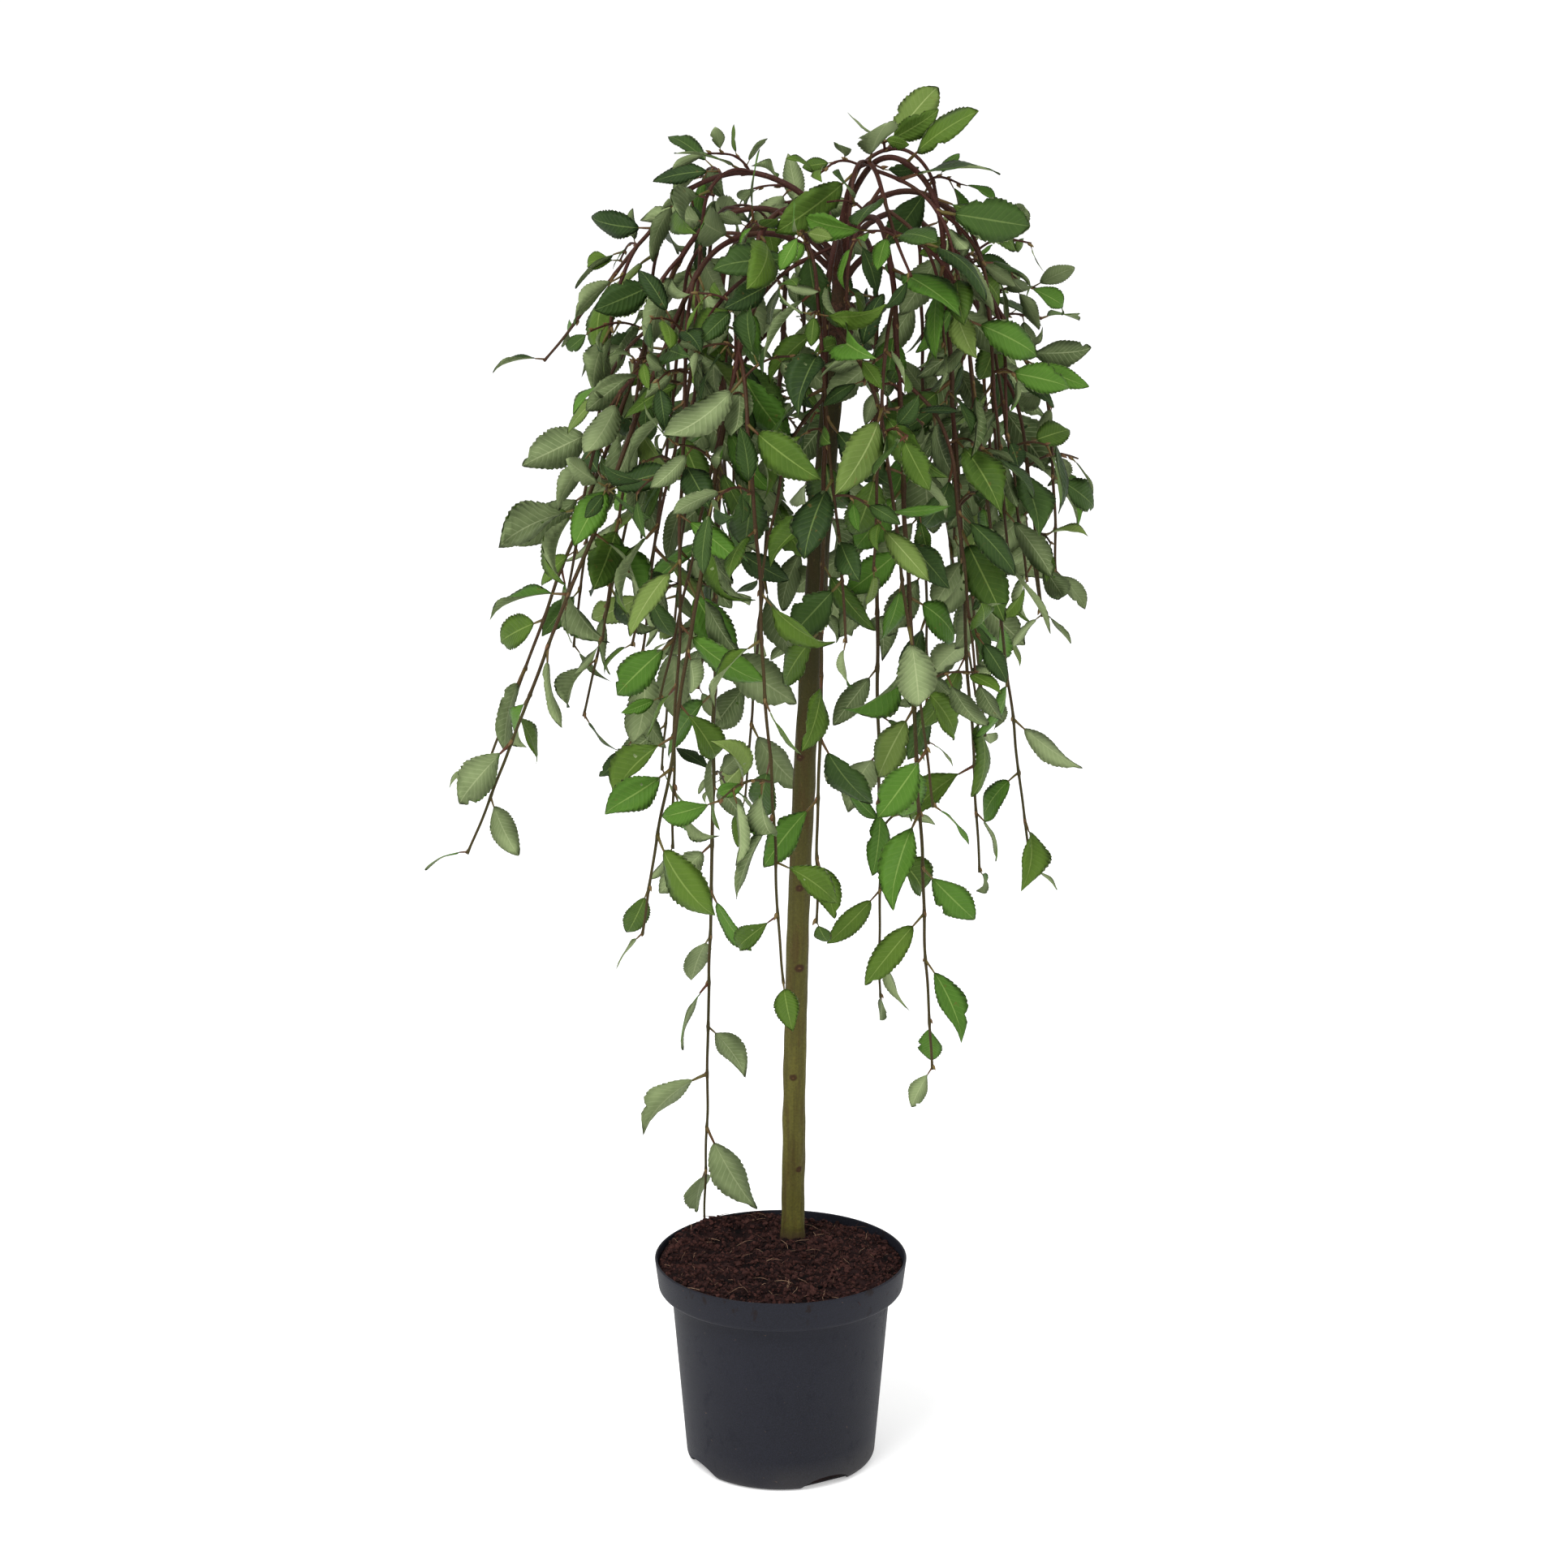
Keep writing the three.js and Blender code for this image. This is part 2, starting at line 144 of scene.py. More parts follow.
def tubeMesh(points, radii, sides, first=0):
    # rings of points carried along a line
    tangents = [(b - a).normalized() for a, b in zip([points[0]] + points, points[1:] + [points[-1]])]
    tangents[0] = (points[1] - points[0]).normalized()
    side = up.cross(tangents[0]) if abs(tangents[0].z) < 0.99 else Vector((1, 0, 0))
    corners = []
    for point, radius, tangent in zip(points, radii, tangents):
        side = (side - tangent * side.dot(tangent)).normalized()
        second = tangent.cross(side)
        for i in range(sides):
            angle = circle * i / sides
            corners.append(point + (side * math.cos(angle) + second * math.sin(angle)) * radius)
    return corners, tubeFaces(len(points), sides, first)


def faceOutwards(mesh):
    turned = bmesh.new()
    turned.from_mesh(mesh)
    bmesh.ops.recalc_face_normals(turned, faces=turned.faces)
    turned.to_mesh(mesh)
    turned.free()


def shadeSmooth(mesh, sharpest):
    mesh.shade_smooth()
    mesh.set_sharp_from_angle(angle=sharpest * degree)


def setAttribute(mesh, name, kind, values, domain="POINT"):
    layer = mesh.attributes.new(name, kind, domain)
    if kind == "FLOAT_VECTOR":
        layer.data.foreach_set("vector", [number for value in values for number in value])
    else:
        layer.data.foreach_set("value", values)


def setInputs(tree, node, values):
    # values holds plain values or sockets to link from, by input name or number
    for key, value in values.items():
        if isinstance(value, bpy.types.NodeSocket):
            tree.links.new(value, node.inputs[key])
        else:
            node.inputs[key].default_value = value


def addNode(tree, kind, values=None, settings=None):
    node = tree.nodes.new(kind)
    for key, value in (settings or {}).items():
        setattr(node, key, value)
    setInputs(tree, node, values or {})
    return node


def socketOf(tree, kind, values=None, settings=None, output=0):
    return addNode(tree, kind, values, settings).outputs[output]


def newGroup(kind, name, inputs, outputs):
    # inputs and outputs give the kind of each socket by its name
    group = bpy.data.node_groups.new(name, kind + "NodeTree")
    for way, sockets in (("OUTPUT", outputs), ("INPUT", inputs)):
        for label, socket in sockets.items():
            group.interface.new_socket(label, in_out=way, socket_type="NodeSocket" + socket)
    return group, addNode(group, "NodeGroupInput").outputs, addNode(group, "NodeGroupOutput").inputs


# what the source's rule says, in millimetres

potShape = {
    "height": 195,
    "rimRadius": 115,
    "bandHeight": 27,
    "bandTaper": 3,
    "ledge": 4,
    "wallTopRadius": 99.8,
    "wallFootRadius": 87,
    "wall": 2.2,
    "floor": 3,
    "cornerHeight": 9,
    "cornerInset": 8,
    "slots": 4,
    "slotWidth": 50,
    "slotHeight": 11,
    "slotStart": 30,
}
compostLevel = 191
graft = Vector((50, 45, 1046))
leaderTop = Vector((54, 43, 1126))
stemFoot = Vector((11, 54, compostLevel + 0.3))
stemBow = 10
flareRows = [(0, 12.2), (10, 11.2), (28, 10.6)]
graftRows = [(-24, 9.8), (-13, 13.3), (-2, 15.5), (8, 13.9), (17, 9), (27, 6.6)]
leaderRows = [(-12, 4.8), (0, 3.6)]

growth = {"step": 12, "straightest": 5 * degree, "longest": 130, "sway": 6 * degree, "swayLength": 95}
sideRule = {
    "bare": 90,  # length of the bough, which carries nothing
    "count": 3,
    "first": 12,
    "spacing": 66,
    "spread": (30 * degree, 72 * degree),
    "steepest": -50 * degree,
    "lift": 12 * degree,
    "arch": (70, 140),
    "hang": (-86 * degree, -76 * degree),
}
topRule = {**sideRule, "bare": 50, "spacing": 24, "count": 5}
neverGrew = {"right_front": (0, 2), "back": (0,)}  # side shoots that another limb stopped
leafRule = {
    "tipInset": 2,
    "bareStem": 14,
    "bareSide": 24,
    "spacing": (38, 58),
    "turn": 137.5 * degree,
    "turnRange": 30 * degree,
    "otherWay": 95 * degree,
    "ways": 3,
    "length": (62, 92),
    "sizes": (0.55, 1),
    "youngRun": 90,
    "widthShare": (0.4, 0.5),
    "leave": 58 * degree,
    "droop": (0, 0.7),
    "roll": 120 * degree,
    "faceUp": 60,
    "clear": 0.3,
    "overReach": 4,
}
seeds = {"shoots": 1000, "bough": 77, "leaves": 8064, "curtain": 101, "shoot": 13}
seeds.update({"leafForm": 700, "buds": 88, "fibre": 900, "crumbs": 17, "fibres": 18})
bladeShape = {"widest": 0.55, "rise": 0.07, "ridge": 0.5, "ridgeRise": 0.085}  # shares of its length

# place, azimuth, foot height, rise, arch, hang, tip height, heights of the side shoots' tips
boughRows = [
    ("left", 180, 1096, 50, 205, -69, 650, (600, 860)),
    ("left_high", 164, 1113, 54, 215, -50, 1000, (700, 980)),
    ("left_front", 206, 1080, 48, 205, -66, 610, (600, 840)),
    ("front_left", 234, 1106, 52, 190, -74, 560, (520, 880)),
    ("front", 262, 1090, 50, 180, -83, 560, (560, 900)),
    ("front_right", 292, 1102, 52, 180, -82, 430, (540, 880)),
    ("right_front", 320, 1119, 80, 205, -85, 580, (580, 900)),
    ("right", 350, 1079, 50, 170, -60, 980, (800, 960)),
    ("right_high", 14, 1110, 62, 175, -85, 860, (740, 980)),
    ("back_right", 45, 1094, 52, 185, -81, 640, (620, 920)),
    ("back", 74, 1078, 50, 180, -87, 390, (560, 900)),
    ("back_left", 112, 1102, 52, 190, -78, 560, (560, 900)),
    ("left_back", 152, 1086, 52, 186, -88.5, 182, (560, 900)),
    ("top", 290, 1124, 82, 150, -45, 1110, (1020, 1120)),
]


def stemCentre(height):
    if height >= graft.z:
        return graft.lerp(leaderTop, (height - graft.z) / (leaderTop.z - graft.z))
    share = (height - stemFoot.z) / (graft.z - stemFoot.z)
    point = stemFoot.lerp(graft, share)
    point.x -= stemBow * math.sin(share * math.pi)
    return point


def fewerPoints(points):
    kept = [points[0]]
    for point, after in zip(points[1:-1], points[2:]):
        piece = point - kept[-1]
        if piece.angle(after - point) > growth["straightest"] or piece.length > growth["longest"]:
            kept.append(point)
    return kept + [points[-1]]


def shootLine(start, azimuth, rise, arch, hang, tipHeight, phase):
    # fine has every step of growth, and coarse is the line that the solids follow
    fine = [start.copy()]
    run = 0
    while run < arch or fine[-1].z > tipHeight:
        share = min((run + growth["step"] / 2) / arch, 1)
        slope = rise + (hang - rise) * smooth(share)
        bearing = azimuth + growth["sway"] * math.sin((run / growth["swayLength"] + phase) * math.pi)
        heading = Vector((*polar(bearing), 0)) * math.cos(slope) + up * math.sin(slope)
        fine.append(fine[-1] + heading * growth["step"])
        run += growth["step"]
    return {"fine": fine, "coarse": fewerPoints(fine)}


def lengthOf(points):
    return sum((b - a).length for a, b in zip(points, points[1:]))


def along(points, distance):
    left = distance
    after = 1
    while after < len(points) - 1 and left > (points[after] - points[after - 1]).length:
        left -= (points[after] - points[after - 1]).length
        after += 1
    heading = (points[after] - points[after - 1]).normalized()
    return points[after - 1] + heading * left, heading


def finePlace(line, distance):
    share = distance / lengthOf(line["coarse"])
    return along(line["fine"], share * lengthOf(line["fine"]))[0]


def growBough(row, index):
    place, azimuth, foot, rise, arch, hang, tipHeight, sideTips = row
    rule = topRule if place == "top" else sideRule
    draw = seededDraw(seeds["shoots"] + index * seeds["bough"])
    turned = azimuth * degree
    main = shootLine(stemCentre(foot), turned, rise * degree, arch, hang * degree, tipHeight, draw() * 2)
    sides = []
    for i in range(rule["count"]):
        distance = rule["bare"] + rule["first"] + i * rule["spacing"]
        fork, heading = along(main["coarse"], distance)
        slope = max(math.asin(heading.z), rule["steepest"]) + rule["lift"]
        hand = 1 if (i + index) % 2 else -1
        bearing = turned + hand * between(rule["spread"], draw())
        sideArch = between(rule["arch"], draw())
        sideHang = between(rule["hang"], draw())
        tip = between(sideTips, draw())
        line = shootLine(fork, bearing, slope, sideArch, sideHang, tip, draw() * 2)
        shift = finePlace(main, distance) - fork
        line["fine"] = [point + shift for point in line["fine"]]
        if i not in neverGrew.get(place, ()):
            sides.append(line)
    return {"place": place, "bare": rule["bare"], "main": main, "sides": sides}


def newShoot(kind, line, bare, leafless):
    # leaves start where leafless ends, and nodes tells how far along each one stands
    return {"kind": kind, "line": line, "bare": bare, "leafless": leafless, "leaves": [], "nodes": []}


def leafAt(point, heading, turn, size, values):
    first = up.cross(heading).normalized()
    second = heading.cross(first)
    sideways = (first * math.cos(turn) + second * math.sin(turn)) * math.sin(leafRule["leave"])
    leafHeading = heading * math.cos(leafRule["leave"]) + sideways
    leafHeading = (leafHeading - up * between(leafRule["droop"], values[0])).normalized()
    outward = point - graft
    outward.z = leafRule["faceUp"]
    outward.normalize()
    face = (outward - leafHeading * outward.dot(leafHeading)).normalized()
    face.rotate(Matrix.Rotation((values[1] - 0.5) * leafRule["roll"], 3, leafHeading))
    length = between(leafRule["length"], values[2]) * size
    width = length * between(leafRule["widthShare"], values[3])
    return {"root": point, "heading": leafHeading, "face": face, "length": length, "width": width}


# keeping clear: every limb and leaf is kept as a small search tree with its box

clearance = {"stem": 10, "shoot": 1.8, "spur": 1.4}  # radii
placed = []


def solidItem(points, faces, owner):
    low = [min(point[i] for point in points) for i in range(3)]
    high = [max(point[i] for point in points) for i in range(3)]
    return {"low": low, "high": high, "tree": BVHTree.FromPolygons(points, faces), "owner": owner}


def limbItem(points, radius, sides, owner):
    return solidItem(*tubeMesh(points, [radius] * len(points), sides), owner)


def bladeItem(leaf, owner):
    across = leaf["face"].cross(leaf["heading"])
    grown = leafRule["clear"]
    length, half = leaf["length"], leaf["width"] / 2 + grown
    widest, edge = bladeShape["widest"], bladeShape["rise"] * length - grown
    rows = [(0, 0, -grown), (widest, half, edge), (widest, -half, edge), (1, 0, -grown)]
    rows.append((bladeShape["ridge"], 0, bladeShape["ridgeRise"] * length + grown))
    points = []
    for run, side, lift in rows:
        points.append(leaf["root"] + leaf["heading"] * run * length + across * side + leaf["face"] * lift)
    faces = [(0, 2, 4), (2, 3, 4), (3, 1, 4), (1, 0, 4), (0, 1, 2), (3, 2, 1)]
    return solidItem(points, faces, owner)


def isFree(item):
    low, high = item["low"], item["high"]
    for other in placed:
        if other["owner"] == item["owner"] and other["limb"]:
            continue
        far = any(other["low"][i] > high[i] or other["high"][i] < low[i] for i in range(3))
        if not far and item["tree"].overlap(other["tree"]):
            return False
    return True


def place(item, limb):
    item["limb"] = limb
    placed.append(item)


def withinReach(leaf):
    tip = (leaf["root"] + leaf["heading"] * leaf["length"]) * mm
    spare = leafRule["overReach"] * mm
    return all(cadLow[i] - spare < tip[i] < cadHigh[i] + spare for i in range(3))


def growLeaves(shoot, owner, seed, rule):
    # from the tip back; a leaf stands in the first of a few ways that is free
    draw = seededDraw(seed)
    line = shoot["line"]
    total = lengthOf(line["coarse"])
    at = total - rule["tipInset"]
    turn = draw() * 360 * degree
    while at > shoot["leafless"]:
        values = [draw() for _ in range(5)]
        grown = draw() if rule is spurLeaves else min((total - at) / rule["youngRun"], 1)
        size = between(rule["sizes"], grown)
        point = finePlace(line, at)
        heading = along(line["coarse"], at)[1]
        for way in range(rule["ways"]):
            leaf = leafAt(point, heading, turn + way * rule["otherWay"], size, values)
            item = bladeItem(leaf, owner)
            if isFree(item) and withinReach(leaf):
                place(item, False)
                shoot["leaves"].append(leaf)
                shoot["nodes"].append(at)
                break
        turn += rule["turn"] + (values[4] - 0.5) * rule["turnRange"]
        at -= between(rule["spacing"], draw())


# short spurs carry the small leaves that fill the crown between the long shoots

spurRule = {
    "seed": (61 * 1009, 37),  # of the spurs, and the step from shoot to shoot
    "leafSeed": (61 * 31, 17),
    "owners": 1000,  # their numbers start here
    "first": 30,  # along the shoot
    "last": 0.85,  # share of its length
    "spacing": 34,
    "highFrom": 900,
    "highChance": 0.5,
    "innerReach": 130,  # sideways from the graft
    "outerShare": 0.35,
    "lowChance": 0.06,
    "length": (16, 58),
    "spread": (25 * degree, 80 * degree),
    "rise": (5 * degree, 60 * degree),
    "bend": 50 * degree,
    "leafless": 4,
}
spurLeaves = {**leafRule, "tipInset": 1, "spacing": (9, 17), "turnRange": 0, "sizes": (0.36, 0.8)}


def growSpurs(shoot, number):
    draw = seededDraw(spurRule["seed"][0] + number * spurRule["seed"][1])
    total = lengthOf(shoot["line"]["coarse"])
    at = max(shoot["leafless"], spurRule["first"])
    spurs = []
    while at < total * spurRule["last"]:
        point = finePlace(shoot["line"], at)
        heading = along(shoot["line"]["coarse"], at)[1]
        chance = spurRule["highChance"] if point.z > spurRule["highFrom"] else spurRule["lowChance"]
        chance *= 1 if abs(point.x - graft.x) < spurRule["innerReach"] else spurRule["outerShare"]
        values = [draw() for _ in range(6)]
        if values[0] < chance:
            hand = 1 if values[1] < 0.5 else -1
            bearing = math.atan2(heading.y, heading.x) + hand * between(spurRule["spread"], values[2])
            rise = between(spurRule["rise"], values[3])
            length = between(spurRule["length"], values[4])
            hang = rise - spurRule["bend"]
            line = shootLine(point, bearing, rise, length, hang, math.inf, values[5] * 2)
            item = limbItem(line["fine"][1:], clearance["spur"], 3, spurRule["owners"] + number)
            if isFree(item):
                place(item, True)
                spurs.append(newShoot("spur", line, 0, spurRule["leafless"]))
        at += spurRule["spacing"] * (0.7 + 0.6 * draw())
    return spurs


def growPlant():
    boughs = [growBough(row, index) for index, row in enumerate(boughRows)]
    stemPoints = [stemCentre(height) for height in range(int(stemFoot.z), int(leaderTop.z), 20)]
    place(limbItem(stemPoints, clearance["stem"], 8, -1), True)
    shoots, spurs, leafSeeds = [], [], []
    for index, bough in enumerate(boughs):
        for i, line in enumerate([bough["main"]] + bough["sides"]):
            leafless = leafRule["bareSide"] if i else bough["bare"] + leafRule["bareStem"]
            leafSeeds.append(seeds["leaves"] + index * seeds["curtain"] + i * seeds["shoot"])
            place(limbItem(line["fine"], clearance["shoot"], 4, len(shoots)), True)
            shoots.append(newShoot("side" if i else "main", line, 0 if i else bough["bare"], leafless))
    for number, shoot in enumerate(shoots):
        growLeaves(shoot, number, leafSeeds[number], leafRule)
    for number, shoot in enumerate(shoots):
        for spur in growSpurs(shoot, number):
            seed = spurRule["leafSeed"][0] + len(spurs) * spurRule["leafSeed"][1]
            growLeaves(spur, spurRule["owners"] + number, seed, spurLeaves)
            if spur["leaves"]:
                spurs.append(spur)
    return boughs, shoots, spurs


boughs, shoots, spurs = growPlant()
allLeaves = sum(len(shoot["leaves"]) for shoot in shoots + spurs)
print("plant grown:", len(shoots), "shoots,", len(spurs), "spurs,", allLeaves, "leaves")

# geometry node trees, and how they are applied


def applied(piece, tree, values):
    modifier = piece.modifiers.new(tree.name, "NODES")
    modifier.node_group = tree
    for item in tree.interface.items_tree:
        if item.in_out == "INPUT" and item.name in values:
            modifier[item.identifier] = values[item.name]
    return evaluated(piece)


def evaluated(piece):
    # the piece with its modifier's result as its own mesh
    graph = bpy.context.evaluated_depsgraph_get()
    graph.update()
    mesh = bpy.data.meshes.new_from_object(piece.evaluated_get(graph), depsgraph=graph)
    mesh.name = piece.name
    piece.modifiers.clear()
    piece.data = mesh
    return piece


def named(tree, name, kind):
    return socketOf(tree, "GeometryNodeInputNamedAttribute", {"Name": name}, {"data_type": kind}, "Attribute")


def limbTree():
    inputs = {"Geometry": "Geometry", "Sides": "Int", "Bark": "Material"}
    tree, start, end = newGroup("Geometry", "limb", inputs, {"Geometry": "Geometry"})
    curve = socketOf(tree, "GeometryNodeMeshToCurve", {"Mesh": start["Geometry"]})
    ring = socketOf(tree, "GeometryNodeCurvePrimitiveCircle", {"Resolution": start["Sides"], "Radius": 1.0})
    values = {"Curve": curve, "Profile Curve": ring, "Fill Caps": True}
    values["Scale"] = named(tree, "thickness", "FLOAT")
    tube = socketOf(tree, "GeometryNodeCurveToMesh", values)
    tube = socketOf(tree, "GeometryNodeSetShadeSmooth", {"Geometry": tube, "Shade Smooth": True})
    whole = socketOf(tree, "GeometryNodeRealizeInstances", {"Geometry": tube})
    whole = socketOf(tree, "GeometryNodeSetMaterial", {"Geometry": whole, "Material": start["Bark"]})
    tree.links.new(whole, end["Geometry"])
    return tree


def scatterTree(name, faceKinds):
    # puts one of a collection's shapes on every point, turned and sized as the point says
    inputs = {"Geometry": "Geometry", "Shapes": "Collection"}
    inputs.update({kind: "Material" for kind in faceKinds})
    tree, start, end = newGroup("Geometry", name, inputs, {"Geometry": "Geometry"})
    values = {"Collection": start["Shapes"], "Separate Children": True, "Reset Children": True}
    shapes = socketOf(tree, "GeometryNodeCollectionInfo", values)
    values = {"Points": start["Geometry"], "Instance": shapes, "Pick Instance": True}
    values["Instance Index"] = named(tree, "shape", "INT")
    turn = named(tree, "turn", "FLOAT_VECTOR")
    values["Rotation"] = socketOf(tree, "FunctionNodeEulerToRotation", {0: turn})
    values["Scale"] = named(tree, "size", "FLOAT_VECTOR")
    instances = socketOf(tree, "GeometryNodeInstanceOnPoints", values)
    whole = socketOf(tree, "GeometryNodeRealizeInstances", {"Geometry": instances})
    for number, kind in enumerate(faceKinds):
        values = {"Geometry": whole, "Material": start[kind]}
        if number:
            # inputs 2 and 3 compare whole numbers
            settings = {"data_type": "INT", "operation": "EQUAL"}
            sides = {2: named(tree, "side", "INT"), 3: number}
            values["Selection"] = socketOf(tree, "FunctionNodeCompare", sides, settings)
        whole = socketOf(tree, "GeometryNodeSetMaterial", values)
    tree.links.new(whole, end["Geometry"])
    return tree


def shapesCollection(name, meshes):
    shapes = bpy.data.collections.new(name)
    for mesh in meshes:
        shapes.objects.link(bpy.data.objects.new(mesh.name, mesh))
    return shapes


def scattered(name, rows, tree, values):
    # each row is a point, its turn, its size, the number of its shape, and its tone, which for leaves also
    # holds painted shade
    points, turns, sizes, shapes, tonesAndShades = zip(*rows)
    mesh = meshOf(name, points, [])
    setAttribute(mesh, "turn", "FLOAT_VECTOR", turns)
    setAttribute(mesh, "size", "FLOAT_VECTOR", sizes)
    setAttribute(mesh, "shape", "INT", shapes)
    setAttribute(mesh, "tone", "FLOAT", tonesAndShades)
    return applied(linked(name, mesh), tree, values)


def turnOf(heading, face):
    return Matrix((heading, face.cross(heading), face)).transposed().to_euler("XYZ")


# colours and finishes; a colour is a socket, or red, green and blue from 0 to 255


def paint(colour):
    return (*(((v / 255 + 0.055) / 1.055) ** 2.4 if v > 10 else v / 255 / 12.92 for v in colour), 1)


def maths(tree, operation, *values):
    return socketOf(tree, "ShaderNodeMath", dict(enumerate(values)), {"operation": operation})


def ranged(tree, value, low, high, toLow=0.0, toHigh=1.0):
    values = {"Value": value, "From Min": low, "From Max": high, "To Min": toLow, "To Max": toHigh}
    return socketOf(tree, "ShaderNodeMapRange", values)


def mixed(tree, factor, first, second):
    first, second = (paint(colour) if isinstance(colour, tuple) else colour for colour in (first, second))
    return socketOf(tree, "ShaderNodeMix", {0: factor, 6: first, 7: second}, {"data_type": "RGBA"}, 2)


def noiseOf(tree, place, scale, detail=2, roughness=0.5):
    # three scales stretch the noise along the axes
    if isinstance(scale, tuple):
        place = socketOf(tree, "ShaderNodeMapping", {"Vector": place, "Scale": scale})
        scale = 1.0
    values = {"Vector": place, "Scale": scale, "Detail": detail, "Roughness": roughness}
    return socketOf(tree, "ShaderNodeTexNoise", values, None, "Fac")


def mottleGroup():
    # shared by every finish: broad and fine changes of value over the surface
    inputs = {"Place": "Vector", "Broad": "Float", "Fine": "Float"}
    group, start, end = newGroup("Shader", "mottle", inputs, {"Broad Mask": "Float", "Fine Mask": "Float"})
    for label, detail, roughness in (("Broad", 3, 0.6), ("Fine", 4, 0.65)):
        value = noiseOf(group, start["Place"], start[label], detail, roughness)
        group.links.new(ranged(group, value, 0.34, 0.66), end[label + " Mask"])
    return group


mottle = mottleGroup()


class Finish:
    # a material in the making, whose colours are laid over each other one by one

    def __init__(self, name):
        self.material = bpy.data.materials.new(name)
        self.material.use_nodes = True
        self.tree = self.material.node_tree
        self.tree.nodes.clear()
        self.shader = addNode(self.tree, "ShaderNodeBsdfPrincipled")
        addNode(self.tree, "ShaderNodeOutputMaterial", {0: self.shader.outputs[0]})
        self.place = socketOf(self.tree, "ShaderNodeTexCoord", output="Object")

    def height(self):
        return socketOf(self.tree, "ShaderNodeSeparateXYZ", {0: self.place}, output=2)

    def attribute(self, name, output="Fac"):
        return socketOf(self.tree, "ShaderNodeAttribute", None, {"attribute_name": name}, output)

    def group(self, group, values):
        return addNode(self.tree, "ShaderNodeGroup", values, {"node_tree": group}).outputs

    def mottled(self, broad, fine):
        masks = self.group(mottle, {"Place": self.place, "Broad": broad, "Fine": fine})
        return masks["Broad Mask"], masks["Fine Mask"]

    def mask(self, scale, low, high, most=1.0, detail=2, roughness=0.5):
        return ranged(self.tree, noiseOf(self.tree, self.place, scale, detail, roughness), low, high, 0, most)

    def start(self, mask, first, second):
        self.colour = mixed(self.tree, mask, first, second)

    def lay(self, colour, mask, share=None):
        if share is not None:
            mask = maths(self.tree, "MULTIPLY", mask, share)
        self.colour = mixed(self.tree, mask, self.colour, colour)

    def done(self, specular, rough, bump=None):
        # bump holds the height, the strength and the distance
        values = {"Base Color": self.colour, "Specular IOR Level": specular, "Roughness": rough}
        if bump:
            bump = dict(zip(("Height", "Strength", "Distance"), bump))
            values["Normal"] = socketOf(self.tree, "ShaderNodeBump", bump)
        setInputs(self.tree, self.shader, values)
        return self.material


def plainFinish(name, scales, colours, specular, rough):
    finish = Finish(name)
    broad, fine = finish.mottled(*scales)
    finish.start(broad, colours[0], colours[1])
    finish.lay(colours[2], fine, 0.3)
    return finish.done(specular, rough)


# leaves

leafTones = {
    "deep": {"main": (56, 80, 32), "dark": (24, 40, 20), "vein": (108, 128, 70)},
    "mid": {"main": (80, 106, 34), "dark": (44, 68, 22), "vein": (128, 148, 76)},
    "bright": {"main": (78, 116, 38), "dark": (58, 92, 28), "vein": (132, 158, 82)},
    "pale": {"main": (110, 130, 64), "dark": (82, 103, 44), "vein": (154, 168, 106)},
}
leafUnder = {"main": (134, 149, 103), "dark": (50, 68, 30), "vein": (162, 173, 128)}
leafFinish = {"veins": 12, "veinSlant": 0.2, "spotted": (104, 76, 40)}
upperSide = {"vein": 0.12, "rough": 0.5, "veinRise": -0.3, "ribRise": -0.7, "bump": 0.5}
underSide = {"vein": 0.4, "rough": 0.71, "veinRise": 0.4, "ribRise": 0.9, "bump": 0.3}


def patternGroup():
    # masks drawn on the leaf's own place: along it, and across it from -1 to 1
    outputs = {label: "Float" for label in ("Midrib", "Vein", "Quilt", "Rim")}
    group, start, end = newGroup("Shader", "leaf_pattern", {"Place": "Vector"}, outputs)
    parts = addNode(group, "ShaderNodeSeparateXYZ", {0: start["Place"]}).outputs
    side = maths(group, "ABSOLUTE", parts[1])
    slanted = maths(group, "MULTIPLY_ADD", side, -leafFinish["veinSlant"], parts[0])
    wave = maths(group, "PINGPONG", maths(group, "MULTIPLY", slanted, leafFinish["veins"]), 0.5)
    vein = ranged(group, wave, 0.0, 0.12, 1, 0)
    group.links.new(ranged(group, side, 0.018, 0.055, 1, 0), end["Midrib"])
    group.links.new(maths(group, "MULTIPLY", vein, ranged(group, side, 0.55, 0.95, 1, 0)), end["Vein"])
    group.links.new(ranged(group, wave, 0.0, 0.4), end["Quilt"])
    group.links.new(ranged(group, side, 0.93, 1.0), end["Rim"])
    return group


leafPattern = patternGroup()


def leafMaterial(name, colours, side):
    finish = Finish(name)
    tree = finish.tree
    masks = finish.group(leafPattern, {"Place": finish.attribute("leafPlace", "Vector")})
    broad, fine = finish.mottled(38.0, 420.0)
    tone = finish.attribute("tone")
    # the tone, with painted shade inside the crown, mixes each side from its main colour towards its dark one
    shade = maths(tree, "MULTIPLY_ADD", broad, 0.3, tone)
    finish.start(ranged(tree, shade, 0.14, 1.1), colours["main"], colours["dark"])
    spots = finish.mask(150.0, 0.68, 0.74, 0.8)
    finish.lay(leafFinish["spotted"], spots, ranged(tree, tone, 0.3, 0.9))
    for label, share in (("Rim", 0.2), ("Vein", side["vein"]), ("Midrib", 0.6)):
        finish.lay(colours["vein"], masks[label], share)
    height = maths(tree, "MULTIPLY_ADD", masks["Vein"], side["veinRise"], masks["Quilt"])
    height = maths(tree, "MULTIPLY_ADD", masks["Midrib"], side["ribRise"], height)
    height = maths(tree, "MULTIPLY_ADD", fine, 0.3, height)
    rough = ranged(tree, fine, 0, 1, side["rough"], side["rough"] + 0.16)
    return finish.done(0.12, rough, (height, side["bump"], 0.0004))


# one unit leaf is 1 long with its stalk, lies along X and faces +Z
leafShape = {"stalk": 0.17, "width": 0.45, "rows": 7, "teeth": 4, "tooth": 0.08, "skew": 0.86, "skin": 0.005}
